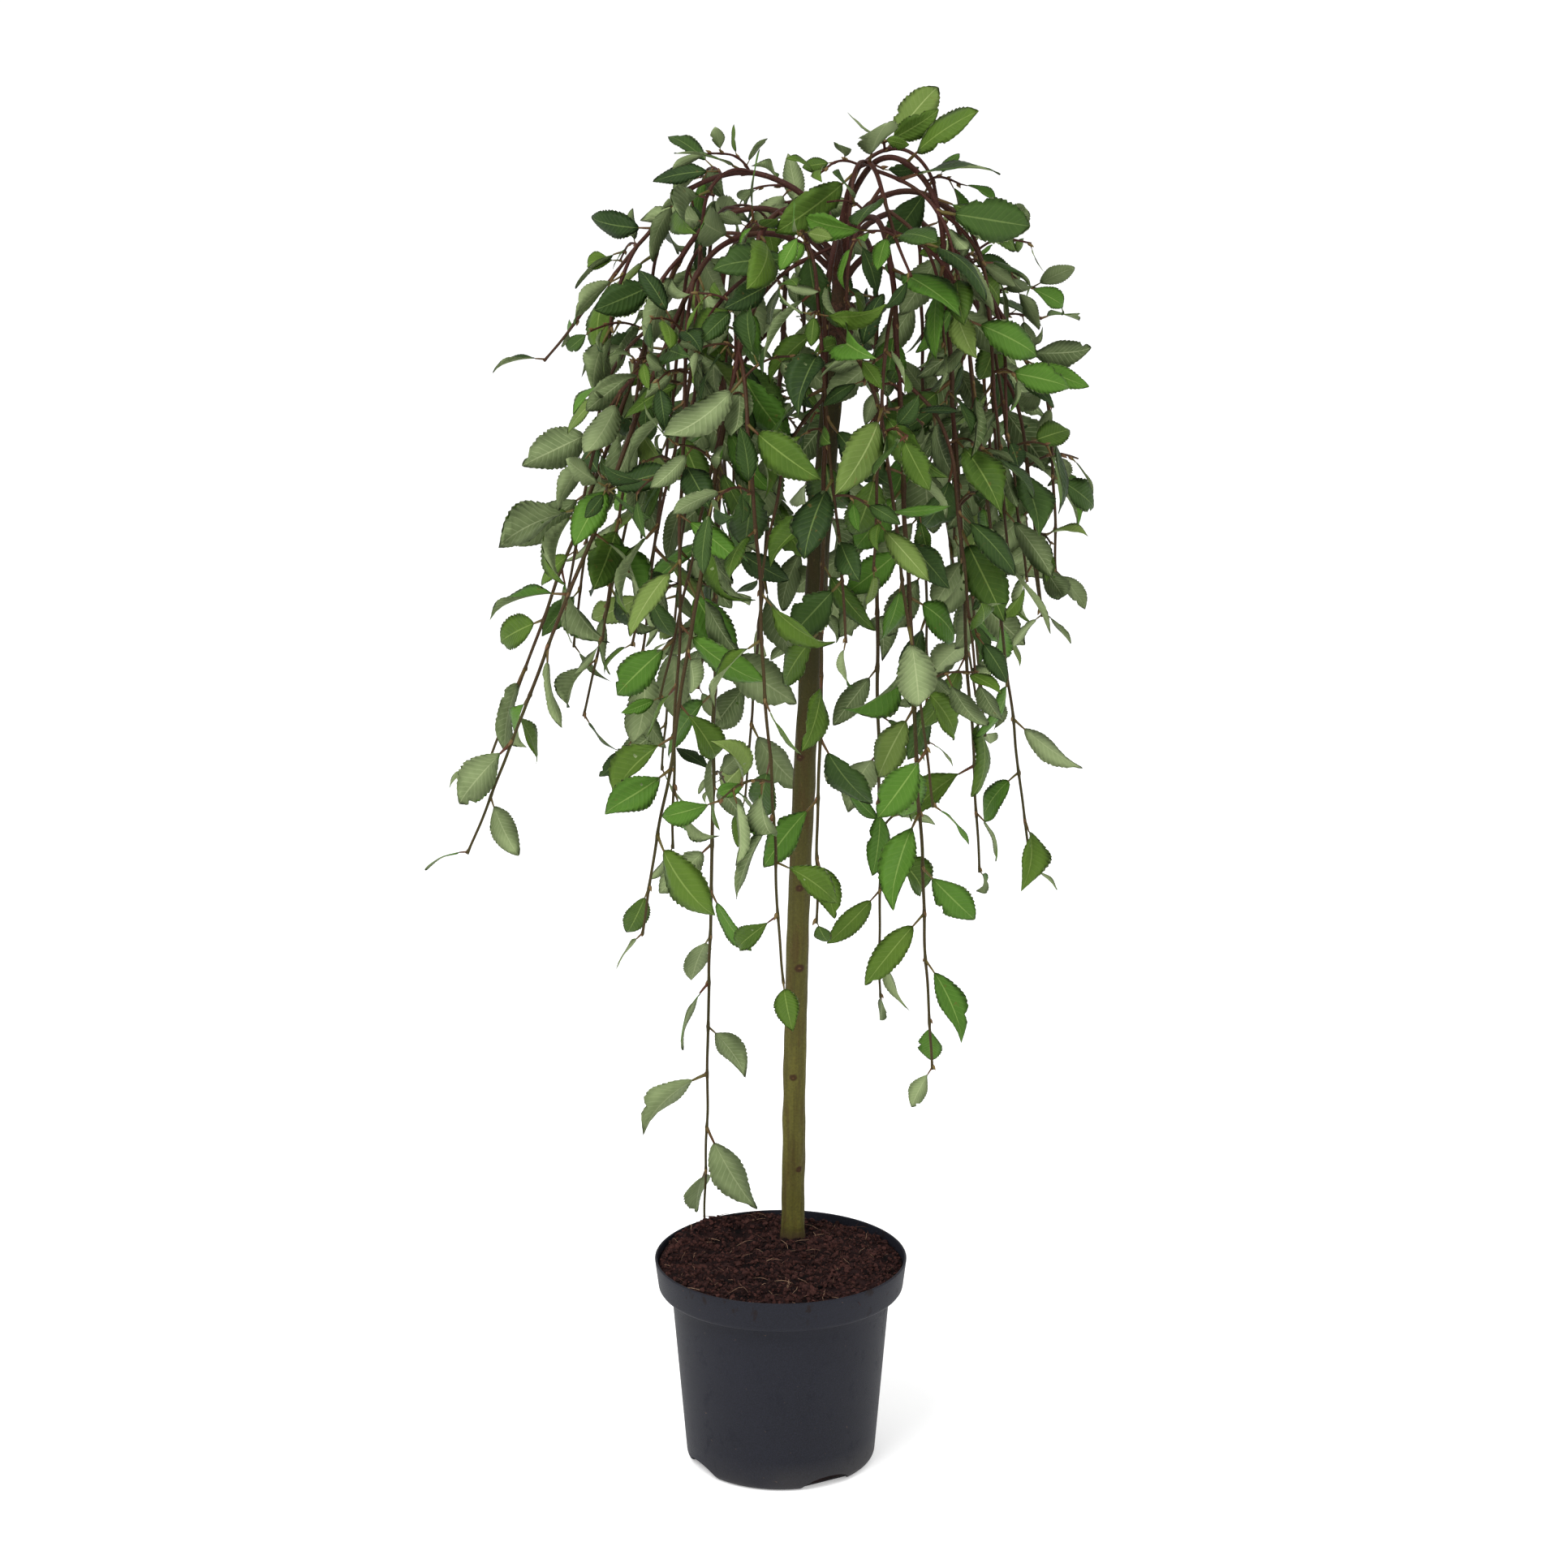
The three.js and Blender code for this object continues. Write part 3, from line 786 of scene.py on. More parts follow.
# fold, arch, twist in degrees, wave, sideways bend, breadth of the outline, hook of the tip
leafForms = [
    (0.12, 0.06, 5, 0.012, 0.02, 0.82, 0.02),
    (0.3, 0.09, -14, 0.018, -0.05, 0.9, 0.05),
    (-0.1, 0.1, 10, 0.02, 0.04, 0.78, 0.03),
    (0.08, 0.05, -6, 0.014, -0.02, 0.86, 0.0),
    (0.5, 0.1, 22, 0.02, 0.06, 0.95, 0.07),
    (0.2, 0.045, -20, 0.014, 0.0, 0.8, 0.02),
    (-0.18, 0.12, -10, 0.018, -0.06, 0.88, 0.04),
    (0.1, 0.075, 16, 0.02, 0.05, 0.74, 0.0),
    (0.8, 0.14, 32, 0.022, -0.03, 1.0, 0.09),
    (0.16, 0.065, 4, 0.022, 0.01, 0.84, 0.03),
]
# where insects ate at the margin: place along it, side and depth, by form
leafBites = {1: (0.7, 1, 0.35), 3: (0.45, -1, 0.3), 5: (0.88, 1, 0.5), 7: (0.3, 1, 0.22), 9: (0.8, -1, 0.4)}


def leafMesh(number):
    fold, arch, twist, wave, aside, breadth, hook = leafForms[number]
    skew = leafShape["skew"] + 0.05 * (number % 5)
    bitten, bittenHand, bite = leafBites.get(number, (0, 0, 0))
    draw = seededDraw(seeds["leafForm"] + number)
    points, places, sides, faces = [], [], [], []

    def spine(run):
        return Vector((run, aside * run * run, 4 * arch * run * (1 - run * 0.98)))

    def add(u, across, lift, narrow=1.0):
        # u runs along the blade, and across goes from -1 to 1 between its margins
        run = leafShape["stalk"] + (1 - leafShape["stalk"]) * u
        outline = math.sin(math.pi * min(max(u, 0.003), 0.998) ** skew) ** breadth
        y = leafShape["width"] / 2 * outline * across * narrow
        hand = (across > 0) - (across < 0)
        ripple = math.sin(u * 9 + number * 1.7 + hand) * wave * abs(across)
        z = lift + fold * abs(y) * 0.9 + ripple - hook * max(u - 0.75, 0) ** 2 * 16
        angle = twist * degree * (u - 0.3)
        sine, cosine = math.sin(angle), math.cos(angle)
        points.append(spine(run) + Vector((0, y * cosine - z * sine, y * sine + z * cosine)))
        places.append((u, across, 0))
        return len(points) - 1

    def addFace(corners, kind):
        faces.append(list(dict.fromkeys(corners)))
        sides.append(kind)

    count, teeth = leafShape["rows"] + 1, leafShape["teeth"]
    base, tip = add(0, 0, 0), add(1, 0, 0)
    column = {}
    halves = [(-0.5, -0.5, 0.011), (0, 0, 0.005), (0.5, 0.5, 0.011)]
    for part, across, lift in halves + [("under", 0, -leafShape["skin"])]:
        column[part] = [base] + [add(row / count, across, lift) for row in range(1, count)] + [tip]
    for hand in (-1, 1):
        edge = [base]
        for step in range(1, count * teeth):
            u = (step + (0.3 if step % 2 else -0.1)) / (count * teeth)
            narrow = 1.0 if step % 2 else 1 - leafShape["tooth"] * (0.4 + draw())
            if bittenHand == hand:
                narrow *= 1 - bite * max(0, 1 - abs(u - bitten) / 0.07)
            edge.append(add(u, hand, 0, narrow))
        column[hand] = edge + [tip]
    for row in range(count):
        for hand in (-1, 1):
            edge = column[hand][row * teeth:(row + 1) * teeth + 1]
            half, middle, under = column[hand * 0.5], column[0], column["under"]
            addFace([middle[row], half[row], half[row + 1], middle[row + 1]], 0)
            addFace([half[row]] + edge + [half[row + 1]], 0)
            addFace([under[row]] + edge + [under[row + 1]], 1)
    stalk = [spine(leafShape["stalk"] * share) for share in (0, 0.35, 0.7, 1.08)]
    corners, tubes = tubeMesh(stalk, [0.024, 0.019, 0.017, 0.013], 4, len(points))
    mesh = meshOf(f"leaf{number}", points + corners, faces + tubes)
    faceOutwards(mesh)
    setAttribute(mesh, "leafPlace", "FLOAT_VECTOR", places + [(0, 0, 1)] * len(corners))
    setAttribute(mesh, "side", "INT", sides + [2] * len(tubes), "FACE")
    mesh.shade_smooth()
    return mesh


wobble = {"length": 46, "most": 1.6}


def wobbled(point):
    # every limb and leaf root sways a little off the rule's smooth line
    return point + noise.noise_vector(point / wobble["length"]) * wobble["most"]


spray = {
    "seed": 404,
    "own": 0.6,  # share of leaves with their own spray's tone
    "turnedOver": 0.18,
    "slim": (0.72, 1.04),
    "roll": 95,  # degrees, how far leaves roll about their stalk
    "fade": 0.62,  # how far tones differ leaf by leaf
    "shade": 0.98,  # and by their depth inside the crown, as painted shade
    "inside": 190,  # from the stem out, where leaves get painted shade and the deep tone more often
    "insideFrom": (760, 180),  # height where the inside starts, and over how much it does
    "insideTo": (1110, -110),
    "lowFrom": (950, -400),  # the same for where leaves get brighter
    "leftOf": -110,
    # chance of each tone, and what being low or at the left adds to it
    "chances": {
        "deep": (0.32, -0.18, 0),
        "mid": (0.4, 0, 0),
        "bright": (0.13, 0.21, 0),
        "pale": (0.05, 0, 0.23),
    },
}


def depthAt(point):
    # how deep inside the crown a place is, from 0 to 1, which sets how much painted shade its leaves get
    centre = stemCentre(point.z)
    away = math.hypot(point.x - centre.x, point.y - centre.y)
    depth = max(0, 1 - away / spray["inside"]) * ramp(point.z, *spray["insideTo"])
    return depth * ramp(point.z, *spray["insideFrom"])


def drawnTone(point, value):
    # inner leaves are dealt the deep tone more often as painted shade, lower ones brighter, and the left side
    # is palest
    start, length = spray["lowFrom"]
    low = min(max((point.z - start) / length, 0), 1)
    left = point.x < spray["leftOf"]
    depth = depthAt(point)
    chances = {tone: own + more * low + side * left for tone, (own, more, side) in spray["chances"].items()}
    # painted shade: deeper inside the crown, the deep tone is likelier and the bright and pale ones rarer
    chances["deep"] += depth
    for tone in ("bright", "pale"):
        chances[tone] *= 1 - depth
    total = sum(chances.values())
    for tone, chance in chances.items():
        value -= chance / total
        if value < 0:
            break
    return tone


def dealLeaves():
    rows = {tone: [] for tone in leafTones}
    draw = seededDraw(spray["seed"])
    for shoot in shoots + spurs:
        if not shoot["leaves"]:
            continue
        middle = sum((leaf["root"] for leaf in shoot["leaves"]), Vector()) / len(shoot["leaves"])
        own = drawnTone(middle, draw())
        for leaf in shoot["leaves"]:
            root = leaf["root"]
            tone = own if draw() < spray["own"] else drawnTone(root, draw())
            widths = leaf["width"] / leafShape["width"] * between(spray["slim"], draw() ** 0.6)
            size = (leaf["length"] * mm, widths * mm, (leaf["length"] + widths) / 2 * mm)
            form = int(draw() * len(leafForms))
            face = -leaf["face"] if draw() < spray["turnedOver"] else leaf["face"].copy()
            face.rotate(Matrix.Rotation((draw() - 0.5) * spray["roll"] * degree, 3, leaf["heading"]))
            # a leaf's own tone, plus painted shade for how deep inside the crown it stands
            shade = draw() * spray["fade"] + depthAt(root) * spray["shade"]
            rows[tone].append((wobbled(root) * mm, turnOf(leaf["heading"], face), size, form, shade))
    return rows


def makeLeaves():
    shapes = shapesCollection("leafShapes", [leafMesh(number) for number in range(len(leafForms))])
    tree = scatterTree("leaves", ["Upper Side", "Under Side", "Stalk"])
    under = leafMaterial("leaf_under", leafUnder, underSide)
    stalk = plainFinish("leaf_stalk", (20.0, 300.0), [(96, 92, 42), (84, 46, 30), (60, 40, 24)], 0.2, 0.5)
    values = {"Shapes": shapes, "Under Side": under, "Stalk": stalk}
    pieces = []
    for tone, rows in dealLeaves().items():
        values["Upper Side"] = leafMaterial("leaf_" + tone, leafTones[tone], upperSide)
        pieces.append(scattered("leaves_" + tone, rows, tree, values))
        print(pieces[-1].name, len(rows), "leaves,", len(pieces[-1].data.polygons), "faces")
    return pieces


leafPieces = makeLeaves()

# shoots, boughs and buds

twigSizes = {
    "step": 4,
    "swelling": 0.32,  # at each bud
    "swellingLength": 3.2,
    "main": (2.576, 1.156),  # radii at the root and the tip
    "side": (1.792, 1.156),
    "spur": (1.176, 0.816),
    "sides": 7,
}
budSizes = {"length": (3.8, 6.8), "thickness": 0.5, "along": 0.9, "out": 0.42, "back": 2, "lift": 0.6}
boughSizes = {"radius": 2.95, "collar": 1.5, "collarLength": 8, "sides": 12, "burr": 0.12}


def rounded(quad, t):
    a, b, c, d = quad
    bend = (a * 2 - b * 5 + c * 4 - d) * t * t
    rest = (b * 3 - a - c * 3 + d) * t * t * t
    return (b * 2 + (c - a) * t + bend + rest) / 2


def sampledLine(line, start, end, step):
    # evenly spaced points on the fine line, rounded between its steps
    fine = line["fine"]
    share = lengthOf(fine) / lengthOf(line["coarse"])
    first, last = start * share, end * share
    count = max(int((last - first) / step), 2)
    points = []
    for i in range(count + 1):
        at = min((first + (last - first) * i / count) / growth["step"], len(fine) - 1.001)
        number = int(at)
        quad = [fine[min(max(number + k, 0), len(fine) - 1)] for k in (-1, 0, 1, 2)]
        points.append(rounded(quad, at - number))
    return points, [start + (end - start) * i / count for i in range(count + 1)]


def makeLimbs(name, limbs, sides, bark):
    points, edges, thickness = [], [], []
    for line, radii in limbs:
        first = len(points)
        points += [wobbled(point) * mm for point in line]
        thickness += [radius * mm for radius in radii]
        edges += [(i, i + 1) for i in range(first, len(points) - 1)]
    mesh = meshOf(name, points, [], edges)
    setAttribute(mesh, "thickness", "FLOAT", thickness)
    return applied(linked(name, mesh), limbNodes, {"Sides": sides, "Bark": bark})


def twigLimbs(kinds):
    limbs = []
    for shoot in shoots + spurs:
        if shoot["kind"] not in kinds:
            continue
        length = lengthOf(shoot["line"]["coarse"])
        points, distances = sampledLine(shoot["line"], shoot["bare"], length, twigSizes["step"])
        radii = []
        for distance in distances:
            share = (distance - distances[0]) / max(length - distances[0], 1)
            swell = 0
            for node in shoot["nodes"]:
                away = (distance - node) / twigSizes["swellingLength"]
                if abs(away) < 3:
                    swell = max(swell, twigSizes["swelling"] * math.exp(-away * away))
            radii.append(between(twigSizes[shoot["kind"]], share) * (1 + swell))
        limbs.append((points, radii))
    return limbs


def boughLimbs():
    limbs = []
    for index, bough in enumerate(boughs):
        points, distances = sampledLine(bough["main"], 0, bough["bare"] + 1, 2)
        radii = []
        for distance in distances:
            radius = between((boughSizes["radius"], twigSizes["main"][0]), distance / bough["bare"])
            out = max(distance - 5, 0) / boughSizes["collarLength"]
            collar = 1 + (boughSizes["collar"] - 1) * math.exp(-out * out)
            burr = 1 + boughSizes["burr"] * noise.noise(Vector((distance / 5, index, 0)))
            radii.append(radius * collar * burr)
        limbs.append((points, radii))
    return limbs


def twigMaterial(name, sunny, shaded, rough):
    # red-brown where the sun reaches it, high up, and olive lower down
    finish = Finish(name)
    tree = finish.tree
    broad, fine = finish.mottled(24.0, 700.0)
    climbing = maths(tree, "MULTIPLY_ADD", ranged(tree, finish.height(), 0.62, 1.12), 0.9, -0.2)
    sun = maths(tree, "MULTIPLY_ADD", broad, 0.5, climbing)
    finish.start(socketOf(tree, "ShaderNodeClamp", {0: sun}), shaded, sunny)
    finish.lay((118, 96, 64), finish.mask(900.0, 0.64, 0.72, 0.6))
    finish.lay((44, 26, 20), fine, 0.35)
    return finish.done(0.16, ranged(tree, fine, 0, 1, rough, rough + 0.2), (fine, 0.4, 0.0003))


def budMesh():
    # a pointed bud along X, rising a little towards its tip
    rows = [(0, 0.3), (0.2, 0.5), (0.5, 0.46), (0.8, 0.24), (1, 0.04)]
    points = [Vector((run, 0, 0.1 * run)) for run, _ in rows]
    mesh = meshOf("bud", *tubeMesh(points, [radius for _, radius in rows], 6))
    mesh.shade_smooth()
    return mesh


def makeBuds():
    draw = seededDraw(seeds["buds"])
    rows = []
    for shoot in shoots + spurs:
        for node in shoot["nodes"]:
            heading = along(shoot["line"]["coarse"], node)[1]
            side = heading.orthogonal().normalized()
            side.rotate(Matrix.Rotation(draw() * 6.28, 3, heading))
            lean = (heading * budSizes["along"] + side * budSizes["out"]).normalized()
            face = (side - lean * side.dot(lean)).normalized()
            length = between(budSizes["length"], draw()) * mm
            thick = length * budSizes["thickness"]
            point = wobbled(finePlace(shoot["line"], max(node - budSizes["back"], 0)))
            point += side * budSizes["lift"]
            rows.append((point * mm, turnOf(lean, face), (length, thick, thick), 0, draw()))
    scale = plainFinish("bud_scale", (60.0, 900.0), [(106, 88, 46), (88, 54, 36), (132, 116, 70)], 0.25, 0.55)
    values = {"Shapes": shapesCollection("budShapes", [budMesh()]), "Surface": scale}
    return scattered("buds", rows, looseTree, values)


limbNodes = limbTree()
looseTree = scatterTree("loose", ["Surface"])
twigBark = twigMaterial("twig_bark", (66, 33, 26), (60, 56, 24), 0.42)
boughBark = twigMaterial("bough_bark", (60, 31, 24), (54, 44, 26), 0.5)
twigPieces = [
    makeLimbs("long_shoots", twigLimbs(["main"]), twigSizes["sides"], twigBark),
    makeLimbs("side_shoots", twigLimbs(["side", "spur"]), twigSizes["sides"], twigBark),
]
boughPiece = makeLimbs("boughs", boughLimbs(), boughSizes["sides"], boughBark)
twigPieces.append(makeBuds())
for piece in twigPieces + [boughPiece]:
    print(piece.name, len(piece.data.polygons), "faces")

# stem and graft

stemSizes = {
    "step": 2.2,
    "sides": 56,
    "under": 5,  # how far it goes on into the compost
    "radii": (10.6, 9.2),  # above the flare and below the graft
    "grain": 0.55,
    "lumps": 0.8,
    "burr": 2.6,  # rough callus round the graft
    "burrLength": 16,
    "foot": 1.2,  # ribs at the foot
    "footLength": 16,
}
# height, turn in degrees, and size of the scars where side shoots were taken off
stemScars = [(262, 300, 0.7), (352, 262, 0.8), (457, 282, 1.2)]
stemScars += [(533, 270, 0.9), (655, 240, 1.0), (760, 320, 0.7)]
stubs = [(1040, 262, 13), (1052, 30, 10), (1034, 160, 9)]  # cut ends at the graft


def stemRadius(height):
    rows = []
    for place, steps in ((stemFoot, flareRows), (graft, graftRows), (leaderTop, leaderRows)):
        rows += [(place.z + above, radius) for above, radius in steps]
    low, high = rows[2][0], rows[3][0]
    if low < height < high:
        return between(stemSizes["radii"], (height - low) / (high - low))
    for (low, first), (high, second) in zip(rows, rows[1:]):
        if low <= height <= high:
            return between((first, second), smooth((height - low) / (high - low)))
    return rows[0][1] if height < rows[0][0] else rows[-1][1]


def scarAt(height, angle):
    # how far into a scar a place is, with the scar's size
    found = (0, 0)
    for where, turn, size in stemScars:
        reach = ((angleFrom(angle, turn) * 10 / 3.4) ** 2 + ((height - where) / 2.8) ** 2) / size
        found = max(found, (math.exp(-reach), size))
    return found


def stemRelief(height, angle):
    x, y = polar(angle)
    streak = noise.noise(Vector((x * 3, y * 3, height / 60)))
    lump = noise.noise(Vector((x, y, height / 32)) * 1.3)
    relief = stemSizes["grain"] * streak + stemSizes["lumps"] * lump
    nearGraft = math.exp(-(((height - graft.z + 2) / stemSizes["burrLength"]) ** 2))
    relief += stemSizes["burr"] * nearGraft * noise.noise(Vector((x * 2.2, y * 2.2, height / 9)))
    scar, size = scarAt(height, angle)
    relief += size * (scar - 0.7 * scar**5)
    foot = max(0, 1 - (height - stemFoot.z) / stemSizes["footLength"])
    return relief + foot * stemSizes["foot"] * noise.noise(Vector((x * 3, y * 3, 5)))


def stemMesh():
    points, scars = [], []
    sides = stemSizes["sides"]
    low = stemFoot.z - stemSizes["under"]
    count = int((leaderTop.z - low) / stemSizes["step"])
    for ring in range(count + 1):
        height = low + (leaderTop.z - low) * ring / count
        centre = stemCentre(max(height, stemFoot.z))
        for i in range(sides):
            angle = circle * i / sides
            x, y = polar(angle, stemRadius(height) + stemRelief(height, angle))
            points.append(Vector((centre.x + x, centre.y + y, height)))
            scars.append(scarAt(height, angle)[0])
    faces = tubeFaces(count + 1, sides)
    for height, turn, length in stubs:
        out = Vector((*polar(turn * degree), 0.35)).normalized()
        line = [stemCentre(height) + out * (6 + length * share) for share in (0, 0.4, 0.75, 0.96, 1)]
        corners, tubes = tubeMesh(line, [6.2, 5.4, 4.6, 4.3, 3.6], 14, len(points))
        points += corners
        faces += tubes
    mesh = meshOf("stem_bark", [point * mm for point in points], faces)
    setAttribute(mesh, "scar", "FLOAT", scars + [0] * (len(points) - len(scars)))
    return mesh


def barkMaterial():
    # olive low down and darker higher up, partly its own bark and partly painted shade under the crown, with
    # streaks, corky specks and brown blotches
    finish = Finish("stem_bark")
    tree = finish.tree
    broad, fine = finish.mottled(14.0, 420.0)
    height = finish.height()
    # darker with height: partly the bark's own colour, partly painted shade under the crown
    finish.start(ranged(tree, height, 0.32, 0.82), (98, 94, 40), (26, 24, 8))
    streaks = finish.mask((220, 220, 9), 0.4, 0.68, 1.0, 4, 0.6)
    finish.lay((50, 45, 20), streaks, 0.6)
    finish.lay((74, 68, 26), broad, 0.3)
    finish.lay((58, 54, 34), fine, 0.4)
    corky = finish.mask((260, 260, 130), 0.66, 0.72, 0.5)
    finish.lay((86, 72, 38), corky)
    finish.lay((66, 44, 24), finish.mask((70, 70, 16), 0.5, 0.68, 0.5, 3, 0.6))
    scar = finish.attribute("scar")
    finish.lay((52, 28, 18), ranged(tree, scar, 0.12, 0.4, 0, 0.85))
    finish.lay((112, 80, 50), ranged(tree, scar, 0.76, 0.92, 0, 0.5))
    away = maths(tree, "ABSOLUTE", maths(tree, "SUBTRACT", height, graft.z * mm))
    finish.lay(mixed(tree, fine, (74, 48, 32), (36, 24, 18)), ranged(tree, away, 0.012, 0.03, 1, 0))
    finish.lay(mixed(tree, fine, (66, 38, 28), (44, 30, 22)), ranged(tree, height, 1.06, 1.08))
    soil = maths(tree, "MULTIPLY_ADD", broad, 0.012, height)
    finish.lay((58, 42, 32), ranged(tree, soil, 0.198, 0.21, 0.85, 0))
    relief = maths(tree, "MULTIPLY_ADD", corky, 0.8, maths(tree, "MULTIPLY_ADD", streaks, -0.5, fine))
    return finish.done(0.12, ranged(tree, fine, 0, 1, 0.5, 0.75), (relief, 0.5, 0.0006))


stemPiece = linked("stem_bark", stemMesh())
stemPiece.data.materials.append(barkMaterial())
shadeSmooth(stemPiece.data, 60)
print("stem made:", len(stemPiece.data.polygons), "faces")

# pot

potSizes = {"segments": 128, "slotSides": 20}
bandFoot = potShape["height"] - potShape["bandHeight"]
bandRadius = potShape["rimRadius"] - potShape["bandTaper"]


def onLine(first, last, shares):
    return [(between((first[0], last[0]), share), between((first[1], last[1]), share)) for share in shares]


def potOutside():
    # radius and height of each row, from the axis up to the lip
    foot, corner, inset = potShape["wallFootRadius"], potShape["cornerHeight"], potShape["cornerInset"]
    top, rim, lip = potShape["wallTopRadius"], potShape["rimRadius"], potShape["wall"] / 2
    rows = [(0, 0), (foot - inset - 6, 0), (foot - inset, 0.2)]
    for i in range(1, 8):
        angle = i / 8 * math.pi / 2
        rows.append((foot - inset + inset * math.sin(angle), corner * (1 - math.cos(angle))))
    rows.append((foot, corner))
    rows += onLine((foot, corner), (top, bandFoot - 6), (0.2, 0.4, 0.6, 0.8, 0.94))
    rows += [(top, bandFoot - 6), (top + 0.8, bandFoot - 4.2)]
    ledge = [(-4.5, -2.4), (-1.4, -1.2), (-0.3, 0.4), (0, 2)]
    rows += [(bandRadius + out, bandFoot + above) for out, above in ledge]
    rows += onLine(rows[-1], (rim, potShape["height"] - 1.1), (0.33, 0.66, 1))
    for i in range(7):
        out, above = polar((20 + 140 * i / 6) * degree, lip)
        rows.append((rim - lip + out, potShape["height"] - lip + above))
    return rows


def potInside(clear):
    # from the rim down to the floor, this far clear of the wall
    shrink = potShape["wall"] + clear
    foot, floor = potShape["wallFootRadius"], potShape["floor"]
    return [
        (potShape["rimRadius"] - shrink, potShape["height"] - 1.1),
        (bandRadius - shrink, bandFoot + potShape["ledge"] + clear),
        (potShape["wallTopRadius"] - shrink, bandFoot - potShape["ledge"]),
        (foot - shrink, floor + potShape["cornerHeight"]),
        (foot - potShape["cornerInset"] - clear, floor + clear),
    ]


def latheMesh(name, rows, segments, top=None):
    # rows run from the axis round the outside and back; top gives the heights that a row leaves out
    points, faces, rings = [], [], []
    for radius, height in rows:
        first = len(points)
        for i in range(segments if radius else 1):
            x, y = polar(circle * i / segments, radius)
            z = top(x, y) if height is None else height
            points.append((x * mm, y * mm, z * mm))
        rings.append([first + (i if radius else 0) for i in range(segments)])
    for low, high in zip(rings, rings[1:]):
        for i in range(segments):
            j = (i + 1) % segments
            faces.append(list(dict.fromkeys((low[i], low[j], high[j], high[i]))))
    return meshOf(name, points, faces)


def slotMesh():
    # the cutters of the drain slots, arched tunnels through the pot's corner
    points, faces = [], []
    sides = potSizes["slotSides"]
    reach = potShape["cornerInset"] * 1.5
    for number in range(potShape["slots"]):
        angle = (potShape["slotStart"] + number * 360 / potShape["slots"]) * degree + math.pi / 2
        out = Vector((*polar(angle), 0))
        across = Vector((-out.y, out.x, 0))
        faces += tubeFaces(2, sides, len(points))
        for run in (-reach, reach):
            for i in range(sides):
                turn = circle * i / sides
                width = potShape["slotWidth"] / 2 * math.cos(turn)
                height = potShape["slotHeight"] * math.sin(turn)
                points.append((out * (potShape["wallFootRadius"] + run) + across * width + up * height) * mm)
    mesh = meshOf("slots", points, faces)
    faceOutwards(mesh)
    return mesh


def potMaterial():
    finish = Finish("pot_plastic")
    tree = finish.tree
    broad, fine = finish.mottled(9.0, 900.0)
    finish.start(broad, (25, 26, 33), (20, 21, 27))
    grain = noiseOf(tree, finish.place, 900.0, 3, 0.8)
    finish.lay((36, 37, 47), ranged(tree, grain, 0.4, 0.68, 0, 0.8))
    height = finish.height()
    # soil clings to the band and in its corner, in smears and specks
    smear = finish.mask((70, 70, 50), 0.58, 0.66, 1.0, 4, 0.7)
    finish.lay((26, 17, 15), maths(tree, "MULTIPLY", smear, ranged(tree, height, 0.15, 0.185)), 0.75)
    finish.lay((84, 66, 54), finish.mask(260.0, 0.73, 0.77), 0.5)
    finish.lay((96, 92, 86), ranged(tree, height, 0.0, 0.03, 0.25, 0), broad)
    rough = maths(tree, "MULTIPLY_ADD", smear, 0.1, ranged(tree, fine, 0, 1, 0.5, 0.62))
    return finish.done(0.14, rough, (grain, 0.45, 0.0004))


def makePot():
    rows = potOutside() + potInside(0) + [(0, potShape["floor"])]
    pot = linked("pot_shell", latheMesh("pot_shell", rows, potSizes["segments"]))
    cutter = linked("slots", slotMesh())
    cut = pot.modifiers.new("slots", "BOOLEAN")
    cut.operation = "DIFFERENCE"
    cut.solver = "EXACT"
    cut.object = cutter
    evaluated(pot)
    bpy.data.objects.remove(cutter)
    shadeSmooth(pot.data, 35)
    pot.data.materials.clear()
    pot.data.materials.append(potMaterial())
    return pot


potPiece = makePot()
print("pot made:", len(potPiece.data.polygons), "faces")

# compost, with its crumbs and fibres

compostSizes = {
    "rings": 46,
    "segments": 120,
    "clear": 0.7,  # of the wall
    "sunk": 1.2,
    "rough": (4.4, 16),  # height and length of the clods
    "fine": (2.2, 3.2),
    "mound": 3.0,
    "heap": 9.0,  # height of the heap at the rim
    "heapTurn": 132,  # degrees from +X
    "heapWidth": 0.75,
    "heapFrom": (55, 45),  # radius where it starts, and over how much it does
    "edge": 3.2,  # how far the rest falls off to the wall
    "edgeFrom": (88, 24),
    "smoothFrom": (100, 12),
    "stemClear": 12.5,  # of loose pieces
    "wallClear": 3,
    "colours": [(48, 30, 29), (13, 9, 10), (34, 21, 21)],
}
crumbs = {
    "count": 6400,
    "shapes": 6,
    "seed": seeds["crumbs"],
    "sizes": (0.9, 5.0),
    "lift": 0.1,
    "tilt": 2.4,
    "colours": [(50, 31, 30), (13, 9, 10), (92, 58, 52)],
    "rough": 0.9,
    "rare": 0.0,  # share of them that never take the last colour
}
fibres = {
    "count": 380,
    "shapes": 6,
    "seed": seeds["fibres"],
    "sizes": (6, 22),
    "lift": 0.06,
    "tilt": 0.5,
    "colours": [(84, 50, 42), (48, 28, 25), (204, 168, 138)],
    "rough": 0.8,
    "rare": 0.6,
}
wallInside = potShape["rimRadius"] - potShape["wall"]


def compostHeight(x, y):
    sizes = compostSizes
    radius = math.hypot(x, y)
    away = angleFrom(math.atan2(y, x), sizes["heapTurn"])
    heap = math.exp(-((away / sizes["heapWidth"]) ** 2)) * ramp(radius, *sizes["heapFrom"]) * sizes["heap"]
    mound = sizes["mound"] * (1 - (radius / wallInside) ** 2)
    low = sizes["edge"] * ramp(radius, *sizes["edgeFrom"])
    rough = noise.fractal(Vector((x, y, 3)) / sizes["rough"][1], 1.0, 2.0, 4) * sizes["rough"][0]
    fine = noise.noise(Vector((x, y, 9)) / sizes["fine"][1]) * sizes["fine"][0]
    held = 1 - 0.6 * ramp(radius, *sizes["smoothFrom"])
    return compostLevel - sizes["sunk"] + mound - low + heap + (rough + fine) * held


